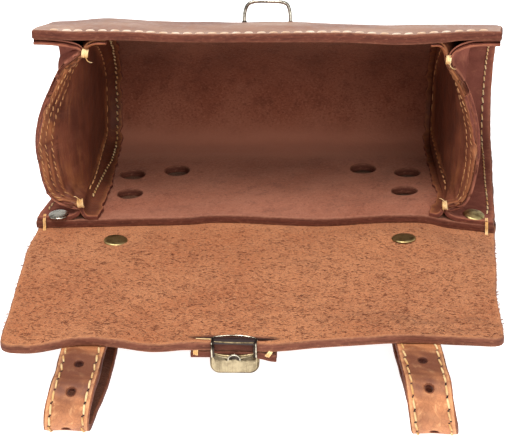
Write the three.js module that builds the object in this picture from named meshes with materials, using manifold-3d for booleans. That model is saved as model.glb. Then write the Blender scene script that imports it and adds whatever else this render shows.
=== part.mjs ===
// Open leather bicycle bag, lying on its back wall with the flap laid forward.
// Millimetres. Bag frame before tilting: +X right, +Y from the mouth into the bag, +Z from the back
// wall up to the front wall, origin at the middle of the mouth's back edge. "reach" is the distance
// from the mouth towards the flap's free edge, so reach = -Y. The whole bag is then tilted, because the
// strap loops hold the mouth end up, and set down on the plane z = 0.
import * as THREE from "three";
import { mergeVertices } from "three/addons/utils/BufferGeometryUtils.js";
import Module from "manifold-3d";

const wasm = await Module();
wasm.setup();

// ---------- driving dimensions ----------
const LEATHER = 3.0; // body strip, flap panel and straps
const SOFT_LEATHER = 1.6; // each layer of the folding sides
const GAP = 0.3; // left between touching pieces
const BACK_HALF_WIDTH = 118; // body half width at the back wall
const FRONT_HALF_WIDTH = 115; // body half width at the front wall's mouth edge
const MOUTH_HEIGHT = 103; // outside height of the mouth
const FRONT_SHIFT = 4; // the front wall sits this far to the right of the back wall
const PANEL_BACK = 100; // how far the panel runs back under the bag
const FLAP_LENGTH = 134; // from the mouth to the flap's free edge
const FLAP_LIFT = 0.01; // rise of the flap for each millimetre of reach
const REST_TILT = THREE.MathUtils.degToRad(5.5); // mouth end raised by the strap loops
const STRAP_WIDTH = 20;
const STRAP_START = 9; // reach of the strap's riveted end
const STRAP_NOSE = 157; // reach of the centre of the strap's forward bend
const STRAP_END = 28; // reach of the strap's loose end, behind the buckle
const STRAP_HOLE_RADIUS = 2;
const FIRST_STRAP_HOLE = 137.5; // along the strap from its riveted end
const STRAP_HOLE_PITCH = 17.5;
const BUCKLE_HOLE = 9; // the buckle's pin is in this hole, counted from 0
const RIVET_REACH = 19; // strap rivets
const CORNER_RIVET = { x: 109, depth: 7 };
const FLANGE_BEND = 7; // width of the bend between a gusset's flange and its web
const INNER_FLANGE = 6; // flat width of the inner layer's flange
const FLANGE_SHARE = 0.4; // part of the way to the tie that is flat flange
const RIM_SETBACK = 1.2; // the web's rim lies this far inside the mouth
const TIE_HEIGHT = 9; // height of the ties, where the two gusset layers meet
const LAYER_SPACING = 2.1; // between the middles of the two gusset layers
const LOCK_X = -5.4; // middle of the lock

// Outside of the body strip at mid width, from the front wall's mouth edge round the bottom.
const BODY_SECTION = [
  { depth: 0, height: MOUTH_HEIGHT },
  { depth: 22, height: 101 },
  { depth: 46, height: 96 },
  { depth: 74, height: 84.5 },
  { depth: 98, height: 67 },
  { depth: 112, height: 49 },
  { depth: 118, height: 30 },
  { depth: 114, height: 12 },
  { depth: 104, height: 2.5 },
  { depth: 92, height: 0 },
];

// Rim of a folded side at the mouth: how far it stands out of the plain web, as a share of its flare.
const RIM = [
  { height: 9, out: -0.12 },
  { height: 12, out: 0 },
  { height: 21, out: 0.46 },
  { height: 30, out: 0.8 },
  { height: 43, out: 1 },
  { height: 56, out: 0.98 },
  { height: 71, out: 0.72 },
  { height: 86, out: 0.22 },
  { height: 94, out: -0.1 },
];
const SIDES = {
  left: { sign: -1, web: 94.5, flare: 21 },
  right: { sign: 1, web: 95.5, flare: 13 },
};
const FLARE_DEPTH = 11; // the flare fades over this depth
const WEB_NARROWING = 0.025; // the web comes in by this much for each millimetre of depth
const WEB_LOW = 36; // the web's rays end on the rim between these two heights
const WEB_HIGH = 70;

// Height of the waves in the flap's free edge; the straps push it up where they pass under it.
const FLAP_WAVE = [
  { x: -113, rise: -2.2 },
  { x: -97, rise: -2.6 },
  { x: -73, rise: 2.6 },
  { x: -40, rise: -2.2 },
  { x: 5, rise: -2.4 },
  { x: 45, rise: 0.6 },
  { x: 78, rise: 2.0 },
  { x: 113, rise: -0.4 },
];
const WAVE_START = 30; // reach at which the waves begin

// Half width of the flap, tapering towards its free edge.
const FLAP_OUTLINE = [
  { reach: 0, half: BACK_HALF_WIDTH },
  { reach: 31, half: 117 },
  { reach: 87, half: 113.5 },
  { reach: FLAP_LENGTH, half: 112.5 },
];
const FLAP_CORNER = 6; // radius of the flap's free corners
const EDGE_ZONE = 110; // beyond this reach the flap's outline is fitted to its rounded free edge

// Where the middle of each strap lies, by distance along it.
const STRAP_SWAY = {
  left: [
    { along: 0, x: -73.8 },
    { along: 50, x: -73.8 },
    { along: 148, x: -73.6 },
    { along: 172, x: -77.6 },
    { along: 186, x: -77 },
    { along: 212, x: -74.3 },
    { along: 280, x: -73.8 },
    { along: 320, x: -73.8 },
  ],
  right: [
    { along: 0, x: 71.8 },
    { along: 50, x: 71.8 },
    { along: 122, x: 76 },
    { along: 158, x: 80.4 },
    { along: 180, x: 83.2 },
    { along: 206, x: 80.6 },
    { along: 240, x: 76 },
    { along: 280, x: 71.8 },
    { along: 320, x: 71.8 },
  ],
};

// Round holes punched in the back wall, blind against the panel behind it.
const BACK_HOLES = [
  { x: 73, depth: 33 },
  { x: 75, depth: 60 },
  { x: 51, depth: 66 },
];
const BACK_HOLE_RADIUS = 6.5;

// ---------- small helpers ----------

// A smooth function through a table's rows: columns key and value, key rising.
function tableCurve(rows, key, value) {
  const slope = (i) => {
    const a = rows[Math.max(i - 1, 0)];
    const b = rows[Math.min(i + 1, rows.length - 1)];
    return (b[value] - a[value]) / (b[key] - a[key]);
  };
  return (at) => {
    const k = THREE.MathUtils.clamp(at, rows[0][key], rows[rows.length - 1][key]);
    let i = 0;
    while (i < rows.length - 2 && k > rows[i + 1][key]) i += 1;
    const span = rows[i + 1][key] - rows[i][key];
    const t = (k - rows[i][key]) / span;
    const rise = rows[i + 1][value] - rows[i][value];
    const ease = t * t * (3 - 2 * t);
    const start = slope(i) * span * t * (1 - t) * (1 - t);
    const end = slope(i + 1) * span * t * t * (t - 1);
    return rows[i][value] + rise * ease + start + end;
  };
}

// Even steps from 0 to 1.
const steps = (count) => Array.from({ length: count + 1 }, (_, i) => i / count);

// Closed sheet of even thickness about a mid-surface given on a grid of rows and columns.
function sheetGeometry(rows, columns, middle, thickness) {
  const nr = rows.length;
  const nc = columns.length;
  const grid = rows.map((r) => columns.map((c) => middle(r, c)));
  const positions = [];
  const push = (p) => positions.push(p.x, p.y, p.z);
  const offsets = grid.map((line, i) =>
    line.map((p, j) => {
      const [before, after] = [grid[Math.max(i - 1, 0)][j], grid[Math.min(i + 1, nr - 1)][j]];
      const du = new THREE.Vector3().subVectors(after, before);
      const dv = new THREE.Vector3().subVectors(line[Math.min(j + 1, nc - 1)], line[Math.max(j - 1, 0)]);
      return du.cross(dv).setLength(thickness / 2);
    }),
  );
  grid.forEach((line, i) => line.forEach((p, j) => push(p.clone().add(offsets[i][j]))));
  grid.forEach((line, i) => line.forEach((p, j) => push(p.clone().sub(offsets[i][j]))));
  const front = (i, j) => i * nc + j;
  const back = (i, j) => nr * nc + front(i, j);
  const index = [];
  for (let i = 0; i < nr - 1; i += 1) {
    for (let j = 0; j < nc - 1; j += 1) {
      index.push(front(i, j), front(i + 1, j), front(i + 1, j + 1));
      index.push(front(i, j), front(i + 1, j + 1), front(i, j + 1));
      index.push(back(i, j), back(i + 1, j + 1), back(i + 1, j));
      index.push(back(i, j), back(i, j + 1), back(i + 1, j + 1));
    }
  }
  const edge = [];
  for (let i = 0; i < nr - 1; i += 1) edge.push([i, 0]);
  for (let j = 0; j < nc - 1; j += 1) edge.push([nr - 1, j]);
  for (let i = nr - 1; i > 0; i -= 1) edge.push([i, nc - 1]);
  for (let j = nc - 1; j > 0; j -= 1) edge.push([0, j]);
  edge.forEach((a, k) => {
    const b = edge[(k + 1) % edge.length];
    index.push(front(...b), front(...a), back(...a));
    index.push(front(...b), back(...a), back(...b));
  });
  const geometry = new THREE.BufferGeometry();
  geometry.setAttribute("position", new THREE.Float32BufferAttribute(positions, 3));
  geometry.setIndex(index);
  return geometry;
}

function toSolid(geometry) {
  const bare = geometry.clone();
  bare.deleteAttribute("normal");
  bare.deleteAttribute("uv");
  const merged = mergeVertices(bare);
  return new wasm.Manifold(
    new wasm.Mesh({
      numProp: 3,
      vertProperties: new Float32Array(merged.attributes.position.array),
      triVerts: new Uint32Array(merged.index.array),
    }),
  );
}

function fromSolid(solid) {
  const mesh = solid.getMesh();
  const geometry = new THREE.BufferGeometry();
  geometry.setAttribute("position", new THREE.BufferAttribute(mesh.vertProperties, 3));
  geometry.setIndex(new THREE.BufferAttribute(mesh.triVerts, 1));
  return geometry;
}

function cut(geometry, tools) {
  const solid = tools.reduce((rest, tool) => rest.subtract(toSolid(tool)), toSolid(geometry));
  return fromSolid(solid);
}

function join(geometries) {
  const [first, ...others] = geometries.map(toSolid);
  return fromSolid(others.reduce((all, one) => all.add(one), first));
}

// Round punch of the given radius along a direction, centred on a point.
function punch(point, direction, radius, length, sides = 20) {
  const geometry = new THREE.CylinderGeometry(radius, radius, length, sides);
  const up = new THREE.Vector3(0, 1, 0);
  geometry.applyQuaternion(new THREE.Quaternion().setFromUnitVectors(up, direction.clone().normalize()));
  return geometry.translate(point.x, point.y, point.z);
}

// ---------- shape of the body ----------
const curvedSection = new THREE.CatmullRomCurve3(
  BODY_SECTION.map((row) => new THREE.Vector3(0, row.depth, row.height)),
  false,
  "catmullrom",
  0.5,
);
const sectionEnd = BODY_SECTION[BODY_SECTION.length - 1];
const bodySection = new THREE.CurvePath();
bodySection.add(curvedSection);
bodySection.add(new THREE.LineCurve3(curvedSection.getPoint(1), new THREE.Vector3(0, 0, 0)));

// Share of the section that is curved; the rest is the flat back wall.
const CURVED_SHARE = curvedSection.getLength() / (curvedSection.getLength() + sectionEnd.depth);
const SECTION_STATIONS = [
  ...steps(22).map((t) => t * CURVED_SHARE),
  ...steps(6).slice(1).map((t) => CURVED_SHARE + t * (1 - CURVED_SHARE)),
];

// Point of the section, moved inwards by the given distance.
function sectionPoint(share, inwards) {
  const point = bodySection.getPoint(share);
  const along = bodySection.getTangent(share);
  const normal = new THREE.Vector3(0, along.z, -along.y);
  return point.addScaledVector(normal, inwards);
}

function halfWidthAt(height) {
  const share = THREE.MathUtils.clamp(height / MOUTH_HEIGHT, 0, 1);
  return THREE.MathUtils.lerp(BACK_HALF_WIDTH, FRONT_HALF_WIDTH, share);
}
const shiftAt = (height) => (FRONT_SHIFT * Math.max(height, 0)) / MOUTH_HEIGHT;

// Point on the outside of the front wall at a depth, with the wall's outside normal there.
function frontWallAt(depth) {
  let low = 0;
  let high = CURVED_SHARE / 2;
  for (let i = 0; i < 30; i += 1) {
    const share = (low + high) / 2;
    if (sectionPoint(share, 0).y < depth) low = share;
    else high = share;
  }
  const outside = sectionPoint(low, 0);
  return { outside, normal: outside.clone().sub(sectionPoint(low, LEATHER)).normalize() };
}

function bodyWrap() {
  const middle = (share, across) => {
    const p = sectionPoint(share, LEATHER / 2);
    const half = halfWidthAt(p.z);
    p.x = shiftAt(p.z) + THREE.MathUtils.lerp(-half, half, across);
    return p;
  };
  const sheet = sheetGeometry(SECTION_STATIONS, steps(2), middle, LEATHER);
  const down = new THREE.Vector3(0, 0, 1);
  const punches = [];
  for (const { sign } of Object.values(SIDES)) {
    for (const { x, depth } of BACK_HOLES) {
      const centre = new THREE.Vector3(sign * x, depth, LEATHER / 2);
      punches.push(punch(centre, down, BACK_HOLE_RADIUS, 3 * LEATHER, 24));
    }
    punches.push(punch(cornerRivetPoint(sign), down, RIVET_HOLE_RADIUS, 30, 12));
  }
  return cut(sheet, [...punches, ...staplePunches()]);
}

// ---------- back panel and flap ----------
const flapWave = tableCurve(FLAP_WAVE, "x", "rise");
const flapHalf = tableCurve(FLAP_OUTLINE, "reach", "half");

// Height of the panel's middle surface.
function panelHeight(x, reach) {
  const flat = -GAP - LEATHER / 2;
  const free = Math.max(reach, 0);
  const wavy = THREE.MathUtils.clamp((reach - WAVE_START) / (FLAP_LENGTH - WAVE_START), 0, 1.15);
  return flat + FLAP_LIFT * free + flapWave(x) * wavy * wavy;
}

function freeEdge(x) {
  const past = Math.abs(x) - (flapHalf(FLAP_LENGTH) - FLAP_CORNER);
  if (past <= 0) return FLAP_LENGTH;
  const share = Math.min(past / FLAP_CORNER, 0.97);
  return FLAP_LENGTH - FLAP_CORNER * (1 - Math.sqrt(1 - share * share));
}

function backFlapPanel() {
  const reaches = [-PANEL_BACK, -50, 0, 30, 50, 68, 84, 98, EDGE_ZONE, 118, 126, 131, FLAP_LENGTH];
  const middle = (reach, across) => {
    const x = (2 * across - 1) * flapHalf(Math.max(reach, 0));
    const share = Math.max(reach - EDGE_ZONE, 0) / (FLAP_LENGTH - EDGE_ZONE);
    const r = reach - share * (FLAP_LENGTH - freeEdge(x));
    return new THREE.Vector3(x, -r, panelHeight(x, r));
  };
  const sheet = sheetGeometry(reaches, steps(28), middle, LEATHER);
  const down = new THREE.Vector3(0, 0, 1);
  const punches = ["left", "right"].flatMap((side) => [
    punch(cornerRivetPoint(SIDES[side].sign), down, RIVET_HOLE_RADIUS, 30, 12),
    punch(strapRivetPoint(side), down, RIVET_HOLE_RADIUS, 30, 12),
  ]);
  const slit = new THREE.BoxGeometry(LOCK_SLIT.length, LOCK_SLIT.width, 20);
  slit.translate(LOCK_X, -LOCK_SLIT.reach, 0);
  return cut(sheet, [...punches, slit]);
}

// ---------- folding sides ----------
const rimOut = tableCurve(RIM, "height", "out");

// Distance of a gusset's web from the middle of the bag, before the front wall's shift.
function webAt(side, depth, height) {
  const { web, flare } = SIDES[side];
  return web - WEB_NARROWING * depth + flare * rimOut(height) * Math.exp(-Math.max(depth, 0) / FLARE_DEPTH);
}

// Point of one layer's web: the shared web surface moved along its own normal to the layer's side.
function webPoint(side, layer, depth, height) {
  const step = 0.5;
  const slopeY = (webAt(side, depth + step, height) - webAt(side, depth - step, height)) / (2 * step);
  const slopeZ = (webAt(side, depth, height + step) - webAt(side, depth, height - step)) / (2 * step);
  const normal = new THREE.Vector3(1, -slopeY, -slopeZ).setLength((layer * LAYER_SPACING) / 2);
  return new THREE.Vector3(webAt(side, depth, height), depth, height).add(normal);
}

// Point of one gusset layer. across: 0 is the flange's free edge, 1 the tie, 2 the rim of the web.
// layer is +1 for the outer layer, whose flange turns outwards, and -1 for the inner one.
function gussetPoint(side, layer, share, across) {
  const { sign } = SIDES[side];
  const lift = GAP + SOFT_LEATHER / 2;
  const wall = (height) => {
    const p = sectionPoint(share, LEATHER + height);
    p.y = Math.max(p.y, 0);
    return p;
  };
  const root = wall(TIE_HEIGHT);
  root.y = Math.max(root.y, RIM_SETBACK);
  const tie = webPoint(side, layer, root.y, root.z);
  const bendX = tie.x + layer * FLANGE_BEND;
  const flangeX = layer > 0 ? halfWidthAt(root.z) - 0.8 : bendX - INNER_FLANGE;
  let p;
  if (across <= FLANGE_SHARE) {
    p = wall(lift);
    p.x = THREE.MathUtils.lerp(flangeX, bendX, across / FLANGE_SHARE);
  } else if (across <= 1) {
    const turn = ((across - FLANGE_SHARE) / (1 - FLANGE_SHARE)) * (Math.PI / 2);
    const risen = 1 - Math.cos(turn);
    p = wall(lift).lerp(tie, risen);
    p.x = THREE.MathUtils.lerp(bendX, tie.x, Math.sin(turn));
  } else {
    const rim = new THREE.Vector3(0, RIM_SETBACK, THREE.MathUtils.lerp(WEB_HIGH, WEB_LOW, share));
    rim.lerp(root, 2 - across);
    p = webPoint(side, layer, rim.y, rim.z);
  }
  p.x = sign * p.x + shiftAt(p.z);
  return p;
}

const GUSSET_ACROSS = [0, 0.2, 0.4, 0.6, 0.8, 1, 1.12, 1.26, 1.42, 1.6, 1.8, 2];

function gusset(side, layer) {
  const middle = (share, across) => gussetPoint(side, layer, share, across);
  const sheet = sheetGeometry(SECTION_STATIONS, GUSSET_ACROSS, middle, SOFT_LEATHER);
  if (layer < 0) return sheet;
  const through = new THREE.Vector3(0, 0, 1);
  return cut(sheet, [punch(cornerRivetPoint(SIDES[side].sign), through, RIVET_HOLE_RADIUS, 12, 12)]);
}

// ---------- rivets ----------
const RIVET_RADIUS = 2;
const RIVET_HOLE_RADIUS = 2.4;
const RIVET_CAP_HEIGHT = 1.7;
const RIVET_CAP_RIM = 0.4; // height of the cap's straight rim under its dome
const CORNER_CAP_RADIUS = 5.5;
const STRAP_CAP_RADIUS = 6.25;
const RIVET_BACK = { radius: 4.5, height: 1.1 };

function cornerRivetPoint(sign) {
  return new THREE.Vector3(sign * CORNER_RIVET.x, CORNER_RIVET.depth, 0);
}

function strapRivetPoint(side) {
  return new THREE.Vector3(STRAP_SWAY[side][0].x, -RIVET_REACH, 0);
}

// Capped rivet whose cap sits on the height top and whose back plate is under the height bottom.
function rivet(point, radius, top, bottom) {
  const dome = steps(4).map((t) => {
    const turn = (t * Math.PI) / 2;
    const rise = RIVET_CAP_RIM + (RIVET_CAP_HEIGHT - RIVET_CAP_RIM) * Math.sin(turn);
    return new THREE.Vector2(radius * Math.cos(turn), top + rise);
  });
  dome[dome.length - 1].x = 0;
  const profile = [
    new THREE.Vector2(0, bottom - RIVET_BACK.height),
    new THREE.Vector2(RIVET_BACK.radius - 0.6, bottom - RIVET_BACK.height),
    new THREE.Vector2(RIVET_BACK.radius, bottom),
    new THREE.Vector2(RIVET_RADIUS, bottom),
    new THREE.Vector2(RIVET_RADIUS, top),
    new THREE.Vector2(radius, top),
    ...dome,
  ];
  const geometry = new THREE.LatheGeometry(profile, 18);
  geometry.rotateX(Math.PI / 2);
  return geometry.translate(point.x, point.y, 0);
}

function cornerRivet(side) {
  const flangeTop = LEATHER + GAP + SOFT_LEATHER;
  const panelBottom = -GAP - LEATHER;
  return rivet(cornerRivetPoint(SIDES[side].sign), CORNER_CAP_RADIUS, flangeTop + GAP, panelBottom - GAP);
}

function strapRivet(side) {
  const point = strapRivetPoint(side);
  const panelTop = panelHeight(point.x, RIVET_REACH) + LEATHER / 2;
  const tabBottom = tabHeight(side, RIVET_REACH) - TAB_THICKNESS / 2;
  return rivet(point, STRAP_CAP_RADIUS, panelTop + GAP, tabBottom - GAP - 0.1);
}

// ---------- straps ----------
const STRAP_EDGE_GAP = 0.8; // room under the flap's wavy free edge
const UPPER_LENGTH = STRAP_NOSE - STRAP_START;

// Height of the resting plane below the bag frame's origin plane, at a reach.
const tableHeight = (reach) => -GAP - LEATHER - Math.tan(REST_TILT) * (PANEL_BACK + reach);

// The strap's middle line under the flap.
function upperRun(x, reach) {
  const room = GAP + STRAP_EDGE_GAP * THREE.MathUtils.clamp(reach / FLAP_LENGTH, 0, 1) ** 2;
  return panelHeight(x, Math.min(reach, FLAP_LENGTH)) - LEATHER - room;
}

const noseTop = -GAP - 1.5 * LEATHER - STRAP_EDGE_GAP;
const noseBottom = tableHeight(STRAP_NOSE) + LEATHER / 2 / Math.cos(REST_TILT);
const NOSE_RADIUS = (noseTop - noseBottom) / 2;
const NOSE_LENGTH = Math.PI * NOSE_RADIUS;
const LOWER_LENGTH = STRAP_NOSE - STRAP_END;
const STRAP_LENGTH = UPPER_LENGTH + NOSE_LENGTH + LOWER_LENGTH;
const BUCKLE_REACH =
  STRAP_NOSE - (FIRST_STRAP_HOLE + BUCKLE_HOLE * STRAP_HOLE_PITCH - UPPER_LENGTH - NOSE_LENGTH);
const TAB_THICKNESS = 2;
const BUCKLE_WIRE = 1.8;
const BUCKLE_DEPTH = 4; // length of the frame along the strap
const BUCKLE_PIN_RADIUS = 1.5;
const FLAT_LOWER_REACH = 92; // the lower run lies on the table beyond this reach

const smooth = (value, from, to) => THREE.MathUtils.smoothstep(value, from, to);

// Heights of the parts stacked at the buckle, from the strap's upper run downwards.
function buckleStack(side) {
  const x = STRAP_SWAY[side][0].x;
  const barTop = upperRun(x, BUCKLE_REACH) - LEATHER / 2 - GAP;
  const tab = barTop - BUCKLE_WIRE - GAP - TAB_THICKNESS / 2;
  const strap = tab - TAB_THICKNESS / 2 - GAP - LEATHER / 2;
  const barBottom = strap - LEATHER / 2 - GAP - BUCKLE_WIRE;
  return { barTop, tab, strap, barBottom };
}

function tabHeight(side, reach) {
  const atRivet = upperRun(STRAP_SWAY[side][0].x, RIVET_REACH) - LEATHER / 2 - GAP - TAB_THICKNESS / 2;
  const share = smooth(reach, RIVET_REACH + 7, BUCKLE_REACH - 4);
  return THREE.MathUtils.lerp(atRivet, buckleStack(side).tab, share);
}

function lowerRun(side, reach) {
  const onTable = tableHeight(reach) + LEATHER / 2 / Math.cos(REST_TILT);
  const lowered = smooth(reach, BUCKLE_REACH + 4, FLAT_LOWER_REACH);
  return THREE.MathUtils.lerp(buckleStack(side).strap, onTable, lowered);
}

// Point of the strap's middle surface: distance along it, and across from its middle.
function strapPoint(side, along, across) {
  const x = tableCurve(STRAP_SWAY[side], "along", "x")(along) + across;
  if (along <= UPPER_LENGTH) {
    const reach = STRAP_START + along;
    const waved = upperRun(x, reach);
    const settled = smooth(reach, FLAP_LENGTH + 1, STRAP_NOSE);
    return new THREE.Vector3(x, -reach, THREE.MathUtils.lerp(waved, noseTop, settled));
  }
  if (along <= UPPER_LENGTH + NOSE_LENGTH) {
    const turn = (along - UPPER_LENGTH) / NOSE_RADIUS;
    const z = noseBottom + NOSE_RADIUS * (1 + Math.cos(turn));
    return new THREE.Vector3(x, -STRAP_NOSE - NOSE_RADIUS * Math.sin(turn), z);
  }
  const reach = STRAP_NOSE - (along - UPPER_LENGTH - NOSE_LENGTH);
  return new THREE.Vector3(x, -reach, lowerRun(side, reach));
}

function strap(side) {
  const upper = steps(16).map((t) => t * UPPER_LENGTH);
  const nose = steps(12).slice(1).map((t) => UPPER_LENGTH + t * NOSE_LENGTH);
  const lower = steps(14).slice(1).map((t) => UPPER_LENGTH + NOSE_LENGTH + t * LOWER_LENGTH);
  const middle = (along, across) => strapPoint(side, along, (across - 0.5) * STRAP_WIDTH);
  const sheet = sheetGeometry([...upper, ...nose, ...lower], steps(3), middle, LEATHER);
  const holes = [punch(strapRivetPoint(side), new THREE.Vector3(0, 0, 1), RIVET_HOLE_RADIUS, 14, 12)];
  for (let i = 0; i <= BUCKLE_HOLE; i += 1) {
    const along = FIRST_STRAP_HOLE + i * STRAP_HOLE_PITCH;
    const before = strapPoint(side, along - 1, 0);
    const after = strapPoint(side, along + 1, 0);
    const normal = after.sub(before).setX(0).cross(new THREE.Vector3(1, 0, 0));
    holes.push(punch(strapPoint(side, along, 0), normal, STRAP_HOLE_RADIUS, 2 * LEATHER, 12));
  }
  return cut(sheet, holes);
}

function buckleTab(side) {
  const x = STRAP_SWAY[side][0].x;
  const reaches = steps(10).map((t) => THREE.MathUtils.lerp(STRAP_START + 2, BUCKLE_REACH + 10, t));
  const middle = (reach, across) =>
    new THREE.Vector3(x + (across - 0.5) * STRAP_WIDTH, -reach, tabHeight(side, reach));
  const sheet = sheetGeometry(reaches, steps(1), middle, TAB_THICKNESS);
  const up = new THREE.Vector3(0, 0, 1);
  const pinPoint = new THREE.Vector3(x, -BUCKLE_REACH, buckleStack(side).tab);
  return cut(sheet, [
    punch(strapRivetPoint(side), up, RIVET_HOLE_RADIUS, 30, 12),
    punch(pinPoint, up, STRAP_HOLE_RADIUS, 10, 12),
  ]);
}

// Rectangular frame round the tab and the strap's loose end, with a fixed pin through both.
function buckle(side) {
  const { barTop, barBottom } = buckleStack(side);
  const inner = { w: STRAP_WIDTH / 2 + 0.6, low: barBottom + BUCKLE_WIRE, high: barTop - BUCKLE_WIRE };
  const outer = { w: inner.w + BUCKLE_WIRE, low: barBottom, high: barTop };
  const rectangle = (Type, { w, low, high }) =>
    new Type([
      new THREE.Vector2(-w, low),
      new THREE.Vector2(w, low),
      new THREE.Vector2(w, high),
      new THREE.Vector2(-w, high),
    ]);
  const shape = rectangle(THREE.Shape, outer);
  shape.holes.push(rectangle(THREE.Path, inner));
  const frame = new THREE.ExtrudeGeometry(shape, { depth: BUCKLE_DEPTH, bevelEnabled: false });
  frame.rotateX(Math.PI / 2).translate(0, BUCKLE_DEPTH / 2, 0);
  const middle = new THREE.Vector3(0, 0, (barTop + barBottom) / 2);
  const pinLength = barTop - barBottom - BUCKLE_WIRE;
  const pin = punch(middle, new THREE.Vector3(0, 0, 1), BUCKLE_PIN_RADIUS, pinLength, 12);
  return join([frame, pin]).translate(STRAP_SWAY[side][0].x, -BUCKLE_REACH, 0);
}

// ---------- lock ----------
const LOCK_SLIT = { reach: 129, length: 35, width: 3 };
const LOCK = { width: 22, height: 8.5, back: 104, front: 132, corner: 3.5 };
const LOCK_RAIL = 1.2; // thickness of the rails and of the throat's arch
const LOCK_INSET = 1; // the rails and the arch stand this far in from the body's sides
const LOCK_ROOT = { arch: 1, rail: 2 }; // how deep the arch and the rails are sunk in the body
const LOCK_CREST = { side: 1, crown: 3 }; // control heights of the arch above the flap
const LOCK_PATCH = { half: 19, back: 100, front: 132.5 };

const patchHeight = (x, reach) => panelHeight(x, reach) - LEATHER - GAP;

function lockPatch() {
  const middle = (reach, across) => {
    const x = LOCK_X + THREE.MathUtils.lerp(-LOCK_PATCH.half, LOCK_PATCH.half, across);
    return new THREE.Vector3(x, -reach, patchHeight(x, reach) - 0.1);
  };
  const reaches = steps(5).map((t) => THREE.MathUtils.lerp(LOCK_PATCH.back, LOCK_PATCH.front, t));
  const sheet = sheetGeometry(reaches, steps(6), middle, LEATHER);
  const slit = new THREE.BoxGeometry(LOCK_SLIT.length, LOCK_SLIT.width, 30);
  return cut(sheet, [slit.translate(LOCK_X, -LOCK_SLIT.reach, 0)]);
}

// Closed outline of the lock's end: square above, rounded below.
function lockOutline(top) {
  const half = LOCK.width / 2;
  const low = top - LOCK.height;
  const round = LOCK.corner;
  const shape = new THREE.Shape();
  shape.moveTo(-half, top);
  shape.lineTo(-half, low + round);
  shape.absarc(-half + round, low + round, round, Math.PI, 1.5 * Math.PI);
  shape.absarc(half - round, low + round, round, 1.5 * Math.PI, 2 * Math.PI);
  shape.lineTo(half, top);
  return shape;
}

// Lock body under the flap's edge, with the throat that stands in the slit and two rails round the edge.
function lockBody() {
  const across = [-1, 0, 1].map((k) => LOCK_X + (k * LOCK.width) / 2);
  const lowest = (reach) => Math.min(...across.map((x) => patchHeight(x, reach)));
  const top = Math.min(lowest(LOCK.back), lowest(LOCK.front)) - LEATHER / 2 - 2 * GAP;
  const body = new THREE.ExtrudeGeometry(lockOutline(top), {
    depth: LOCK.front - LOCK.back,
    bevelEnabled: false,
    curveSegments: 5,
  });
  body.rotateX(Math.PI / 2).translate(0, -LOCK.back, 0);
  const crest = panelHeight(LOCK_X, LOCK_SLIT.reach) + LEATHER / 2;
  const railHeight = crest + 2 * GAP + LOCK_RAIL / 2;
  const bracket = [
    throatArch(crest, top),
    ...[-1, 1].flatMap((sign) => lockRail(sign, railHeight, top)),
  ];
  return join([body, ...bracket]).translate(LOCK_X, 0, 0);
}

// Arched wall standing in the slit.
function throatArch(crest, top) {
  const half = LOCK.width / 2 - LOCK_INSET;
  const shape = new THREE.Shape();
  shape.moveTo(-half, top - LOCK_ROOT.arch);
  shape.lineTo(half, top - LOCK_ROOT.arch);
  shape.lineTo(half, crest + LOCK_CREST.side);
  shape.quadraticCurveTo(0, crest + LOCK_CREST.crown, -half, crest + LOCK_CREST.side);
  const wall = { depth: LOCK_RAIL, bevelEnabled: false, curveSegments: 8 };
  const arch = new THREE.ExtrudeGeometry(shape, wall);
  return arch.rotateX(Math.PI / 2).translate(0, -LOCK_SLIT.reach + LOCK_RAIL / 2, 0);
}

// Rail from the throat over the flap's free edge and down to the lock body.
function lockRail(sign, height, top) {
  const x = sign * (LOCK.width / 2 - LOCK_INSET - LOCK_RAIL / 2);
  const sunk = top - LOCK_ROOT.rail;
  const highest = height + LOCK_RAIL / 2;
  const far = FLAP_LENGTH + GAP + LOCK_RAIL;
  const over = new THREE.BoxGeometry(LOCK_RAIL, far - LOCK_SLIT.reach, LOCK_RAIL);
  over.translate(x, -(far + LOCK_SLIT.reach) / 2, height);
  const drop = new THREE.BoxGeometry(LOCK_RAIL, LOCK_RAIL, highest - sunk);
  drop.translate(x, -far + LOCK_RAIL / 2, (highest + sunk) / 2);
  const foot = new THREE.BoxGeometry(LOCK_RAIL, far - LOCK.front + LOCK_ROOT.rail, LOCK_RAIL);
  foot.translate(x, -(far + LOCK.front - LOCK_ROOT.rail) / 2, sunk + LOCK_RAIL / 2);
  return [over, drop, foot];
}

// ---------- staple ----------
const STAPLE = { x: 2.2, depth: 42, half: 11.7, topHalf: 10.6, height: 11.2, wire: 0.9, clinch: 6 };

function staplePunches() {
  const { outside, normal } = frontWallAt(STAPLE.depth);
  return [-1, 1].map((sign) => {
    const point = outside.clone();
    point.x = STAPLE.x + sign * STAPLE.half;
    return punch(point, normal, STAPLE.wire + 0.4, 20, 12);
  });
}

// Wire bow with both feet through the front wall and bent over inside it.
function staple() {
  const { outside, normal } = frontWallAt(STAPLE.depth);
  const at = (x, height) => outside.clone().addScaledVector(normal, height).setX(STAPLE.x + x);
  const under = -LEATHER - GAP - STAPLE.wire;
  const half = [
    at(STAPLE.half - STAPLE.clinch, under),
    at(STAPLE.half - 0.8, under),
    at(STAPLE.half, under + 0.8),
    at(STAPLE.half, 0),
    at((STAPLE.half + STAPLE.topHalf) / 2, STAPLE.height / 2),
    at(STAPLE.topHalf, STAPLE.height - 3),
    at(STAPLE.topHalf - 1, STAPLE.height - 0.9),
    at(STAPLE.topHalf - 3, STAPLE.height),
  ];
  const mirrored = half.map((p) => p.clone().setX(2 * STAPLE.x - p.x)).reverse();
  const path = new THREE.CatmullRomCurve3([...half, ...mirrored], false, "centripetal");
  const section = new THREE.Shape();
  section.absarc(0, 0, STAPLE.wire, 0, 2 * Math.PI);
  return new THREE.ExtrudeGeometry(section, {
    steps: 48,
    extrudePath: path,
    bevelEnabled: false,
    curveSegments: 4,
  });
}

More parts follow.
